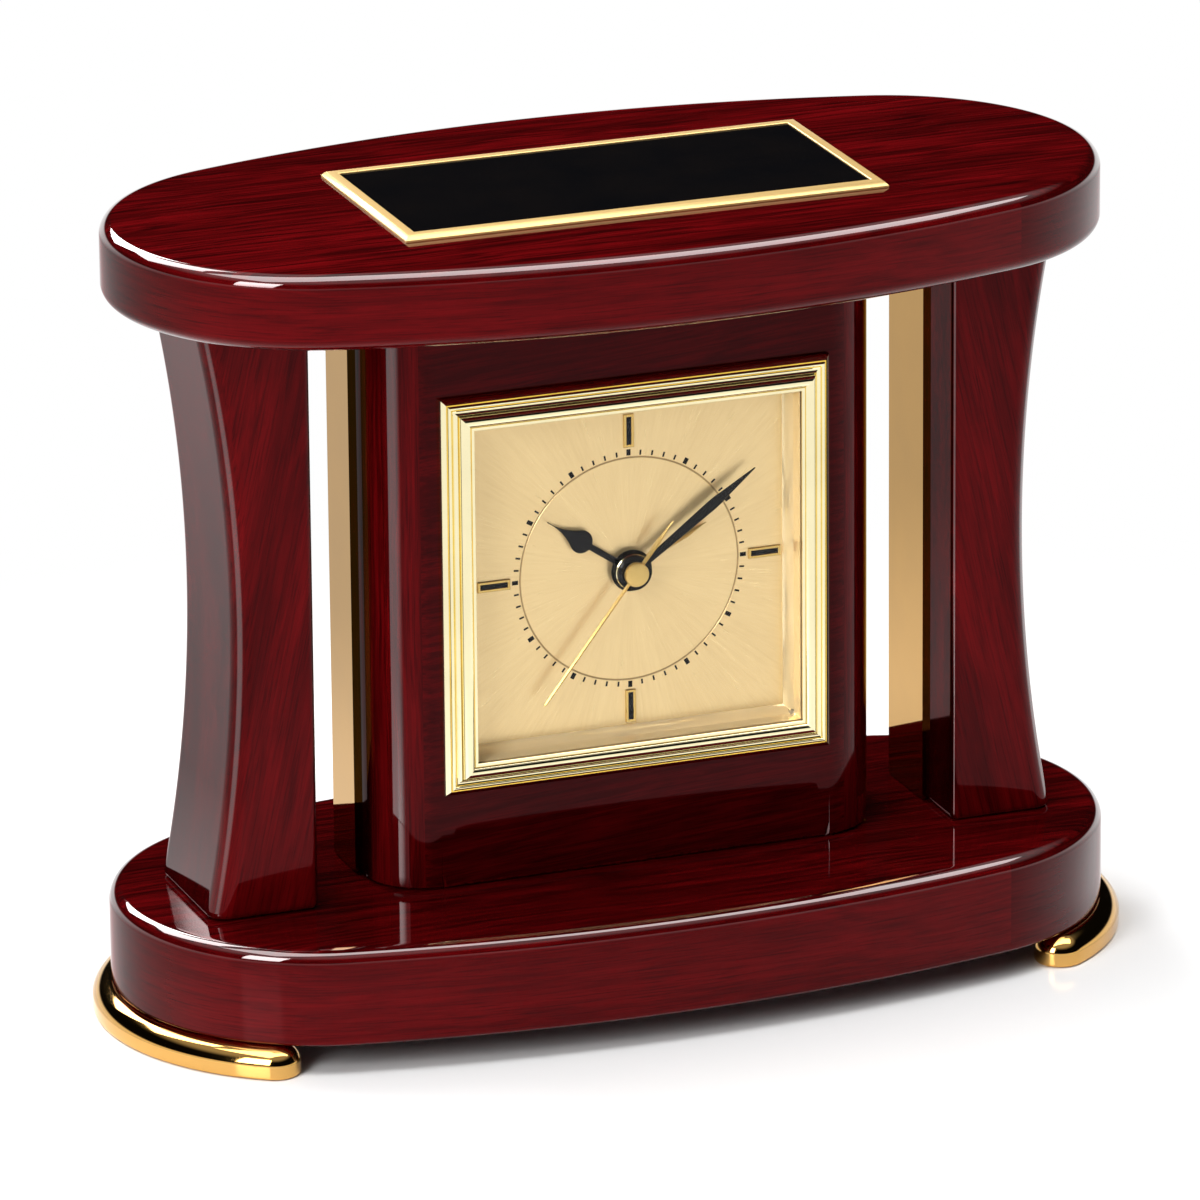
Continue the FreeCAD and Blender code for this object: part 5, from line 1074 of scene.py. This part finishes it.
def blade(stations, back, degrees, roof):
    """Hand carried along its middle line: at each station of half width and distance the section is either
    a flat with small chamfers or a roof with its ridge on the middle line."""
    w, v = stations[:, :1], stations[:, 1:2]
    front = back - HAND_THICK
    if roof:
        u = np.hstack([-w, -w, 0 * w, w, w])
        eaves = front + 0.6 * HAND_THICK
        y = np.array([back, eaves, front, eaves, back])
    else:
        cut = np.minimum(HAND_CUT, 0.5 * w)
        u = np.hstack([-w, -w, cut - w, w - cut, w, w])
        y = np.array([back, front + HAND_CUT, front, front, front + HAND_CUT, back])
    grid = np.stack([u, np.broadcast_to(y, u.shape), np.broadcast_to(v, u.shape)], axis=-1)
    return surface(clockwise(grid, degrees), wrap_cols=True)


def spun(*profile):
    """Closed ring or boss turned about the hands' axis."""
    return closed(turned(line(*profile)))


def boss(bore, outer, back, front, cut):
    """Ring from the back plane to the front one, whose front edge is cut at 45 degrees."""
    return spun((bore, back), (bore, front), (outer - cut, front), (outer, front + cut), (outer, back))


class CLOCK_OT_hands(bpy.types.Operator):
    """Builds the hour, minute, second and alarm hands and the gold bush"""
    bl_idname = "clock.hands"
    bl_label = "Hands"

    def execute(self, context):
        settings = context.scene.clock_dial
        lacquer = black_lacquer(settings)
        satin = metal("Satin gold hands", context.scene.clock_gold.hand_colour, 0.25, 0.35, 0.3, 0.05,
                      {"Metallic": 0.7})
        bulb_at, bulb_r, stem = 15.0, 2.75, 0.72
        low = bulb_at - math.sqrt(bulb_r ** 2 - stem ** 2)
        lean = math.radians(38)
        shoulder = (bulb_r * math.cos(lean), bulb_at + bulb_r * math.sin(lean))
        spade = np.concatenate([
            line((stem, 2.0)), bow((stem, low), (bulb_r, bulb_at), shoulder, 25)[:-1],
            bow(shoulder, (0.78, bulb_at + 4.6), (0.12, 25.0), 21), line((0.03, 25.1))])
        hub = boss(1.3, 5.0, HOUR_Y, HOUR_Y - HAND_THICK, 0.1)
        piece("hour_hand_spade", [blade(spade, HOUR_Y, HOUR_DEG, False), hub], "hour_train", "black_lacquer",
              lacquer, "hour_hand")
        bush = boss(1.3, 4.3, HOUR_Y - HAND_THICK, BUSH_Y, 0.15)
        piece("hour_bush_turned", [bush], "hour_train", "polished_gold", gold(context.scene.clock_gold),
              "hour_bush")
        leaf = line((0.75, 2.0), (1.3, 24.0), (1.2, 26.2), (1.02, 27.5), (0.1, 37.2), (0.03, 37.3))
        hub = boss(0.65, 4.2, MINUTE_Y, MINUTE_FRONT, 0.2)
        piece("minute_hand_leaf", [blade(leaf, MINUTE_Y, MINUTE_DEG, False), hub], "minute_train",
              "black_lacquer", lacquer, "minute_hand")
        needle = line((0.42, 1.0), (0.36, 36.8), (0.03, 37.4))
        tail = line((0.42, 1.0), (0.6, 9.0), (0.03, 15.0))
        cap = surface(turned(line((0, SECOND_Y), (2.9, SECOND_Y), (2.9, CAP_Y + 0.25), (2.82, CAP_Y + 0.08),
                                  (2.65, CAP_Y), (0, CAP_Y))), wrap_cols=True)
        piece("second_hand_needle", [
            blade(needle, SECOND_Y, SECOND_DEG, True), blade(tail, SECOND_Y, SECOND_DEG + 180, True), cap,
        ], "second_train", "polished_gold", satin, "second_hand")
        lance = line((0.45, 2.2), (0.75, 15.75), (0.03, 21.0))
        hub = boss(1.9, 3.6, ALARM_Y, ALARM_Y - HAND_THICK, 0.1)
        piece("alarm_hand_lance", [blade(lance, ALARM_Y, ALARM_DEG, True), hub], "alarm_train",
              "polished_gold", satin, "alarm_hand")
        return {"FINISHED"}


# Nodes that keep their shape

class CLOCK_OT_works(bpy.types.Operator):
    """Gives the case, the movement, its wheels and the fixings their materials"""
    bl_idname = "clock.works"
    bl_label = "Case and movement"

    def execute(self, context):
        dress(plastic("Black case", (0.016, 0.016, 0.017), 0.42, 0.5), "insert_case")
        dress(plastic("Grip rubber", (0.01, 0.01, 0.01), 0.7, 0.9, 0.3), "grip_ring")
        dress(plastic("Movement shell", (0.045, 0.045, 0.048), 0.4, 0.4),
              "movement_front", "movement_back", "battery_cover", "alarm_switch")
        dress(plastic("Knobs", (0.1, 0.1, 0.105), 0.3, 0.3), "time_knob", "alarm_knob")
        dress(plastic("White nylon", (0.62, 0.6, 0.55), 0.38, 0.2, 0.05, {"Subsurface Weight": 0.1}),
              "intermediate_wheel", "rotor", "third_wheel", "second_wheel", "minute_wheel", "hour_wheel",
              "alarm_wheel")
        dress(metal("Steel", (0.56, 0.56, 0.57), 0.18, 0.3, 0.6),
              "frame_screws", "foot_screws", "case_screws", "contact_plus", "contact_minus", "stator",
              "quartz_crystal")
        dress(metal("Brass wheels", (0.72, 0.52, 0.22), 0.2, 0.32, 0.5), "centre_wheel", "minute_pipe")
        dress(metal("Copper winding", (0.7, 0.3, 0.15), 0.25, 0.35, 0.7), "coil", "buzzer")
        dress(plastic("Circuit board", (0.01, 0.12, 0.045), 0.3, 0.3), "circuit_board")
        dress(plastic("Black resin", (0.01, 0.01, 0.01), 0.25, 0.2), "driver_chip")
        dress(metal("Cell jacket", (0.35, 0.36, 0.38), 0.15, 0.25, 0.3), "battery")
        dress(plastic("Beech dowels", (0.45, 0.28, 0.15), 0.65, 0.8, 0.3), "dowels")
        return {"FINISHED"}


# Stage

def softbox(name, place, aim, width, height, power):
    """Rectangular area lamp at a place, turned to face a point."""
    lamp = bpy.data.lights.new(name, "AREA")
    lamp.shape = "RECTANGLE"
    lamp.size, lamp.size_y = width, height
    lamp.energy = power
    thing = bpy.data.objects.new(name, lamp)
    bpy.context.scene.collection.objects.link(thing)
    thing.location = place
    thing.rotation_euler = (Vector(aim) - Vector(place)).to_track_quat("-Z", "Y").to_euler()


class CLOCK_OT_stage(bpy.types.Operator):
    """Sets up the floor, the soft lights, the surroundings and the camera"""
    bl_idname = "clock.stage"
    bl_label = "Stage"

    def execute(self, context):
        scene = context.scene
        settings = scene.clock_stage
        scene.view_settings.view_transform = "Standard"
        corners = FLOOR_HALF * line((-1, -1, 0), (1, -1, 0), (1, 1, 0), (-1, 1, 0))
        mesh = bpy.data.meshes.new("floor")
        mesh.from_pydata(corners.tolist(), [], [(0, 1, 2, 3)])
        floor = bpy.data.objects.new("floor", mesh)
        scene.collection.objects.link(floor)
        mesh.materials.append(pale_floor("Pale floor", settings.floor_colour))
        self.surroundings(scene)
        for *box, power in SOFTBOXES:
            softbox(*box, getattr(settings, power))
        self.camera(scene)
        return {"FINISHED"}

    def surroundings(self, scene):
        """White just above the horizon, where the floor ends, a dark studio higher up and a soft pale
        ceiling overhead."""
        world = bpy.data.worlds.new("Studio")
        world.use_nodes = True
        scene.world = world
        tree = world.node_tree
        tree.nodes.clear()
        height = parts(tree, tree.nodes.new("ShaderNodeTexCoord").outputs["Generated"])["Z"]
        level = plus(tree, remap(tree, height, 0.06, 0.15, 1.0, 0.003, smooth=True),
                     remap(tree, height, 0.55, 0.8, 0.0, 0.45, smooth=True))
        back = add(tree, "ShaderNodeBackground", {"Color": (1, 1, 1, 1), "Strength": level})
        add(tree, "ShaderNodeOutputWorld", {"Surface": back.outputs[0]})

    def camera(self, scene):
        """Camera placed by azimuth, elevation, distance and roll about its line of sight."""
        azimuth, elevation, roll = (math.radians(a) for a in CAMERA_ANGLES)
        back = Vector((math.sin(azimuth) * math.cos(elevation), -math.cos(azimuth) * math.cos(elevation),
                       math.sin(elevation)))
        right = (-back).cross(Vector((0, 0, 1))).normalized()
        up = right.cross(-back)
        right, up = right * math.cos(roll) + up * math.sin(roll), up * math.cos(roll) - right * math.sin(roll)
        data = bpy.data.cameras.new("camera")
        data.sensor_width, data.lens = 36.0, CAMERA_LENS
        data.clip_end = 100.0
        thing = bpy.data.objects.new("camera", data)
        scene.collection.objects.link(thing)
        turn = Matrix((right, up, back)).transposed().to_4x4()
        thing.matrix_world = Matrix.Translation(Vector(CAMERA_AIM) * MM + back * CAMERA_DISTANCE * MM) @ turn
        scene.camera = thing


OPERATORS = (CLOCK_OT_boards, CLOCK_OT_columns, CLOCK_OT_block, CLOCK_OT_mirrors, CLOCK_OT_feet,
             CLOCK_OT_plate, CLOCK_OT_bezel, CLOCK_OT_dial, CLOCK_OT_hands, CLOCK_OT_works, CLOCK_OT_stage)
SETTINGS = (("clock_wood", ClockWood), ("clock_gold", ClockGold), ("clock_dial", ClockDial),
            ("clock_stage", ClockStage))


class CLOCK_PT_panel(bpy.types.Panel):
    """Lists the settings, and the operators in the order in which main calls them"""
    bl_label = "Mantel clock"
    bl_idname = "CLOCK_PT_panel"
    bl_space_type = "VIEW_3D"
    bl_region_type = "UI"
    bl_category = "Mantel clock"

    def draw(self, context):
        for name, kind in SETTINGS:
            box = self.layout.box()
            for key in kind.__annotations__:
                box.prop(getattr(context.scene, name), key)
        for kind in OPERATORS:
            self.layout.operator(kind.bl_idname)


def register():
    for name, kind in SETTINGS:
        bpy.utils.register_class(kind)
        setattr(bpy.types.Scene, name, bpy.props.PointerProperty(type=kind))
    for kind in OPERATORS + (CLOCK_PT_panel,):
        bpy.utils.register_class(kind)


def unregister():
    for kind in (CLOCK_PT_panel,) + OPERATORS[::-1]:
        bpy.utils.unregister_class(kind)
    for name, kind in SETTINGS[::-1]:
        delattr(bpy.types.Scene, name)
        bpy.utils.unregister_class(kind)


def main():
    """Builds the clock and its stage."""
    register()
    for kind in OPERATORS:
        group, name = kind.bl_idname.split(".")
        getattr(getattr(bpy.ops, group), name)()
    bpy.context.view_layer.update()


if __name__ == "__main__":
    main()
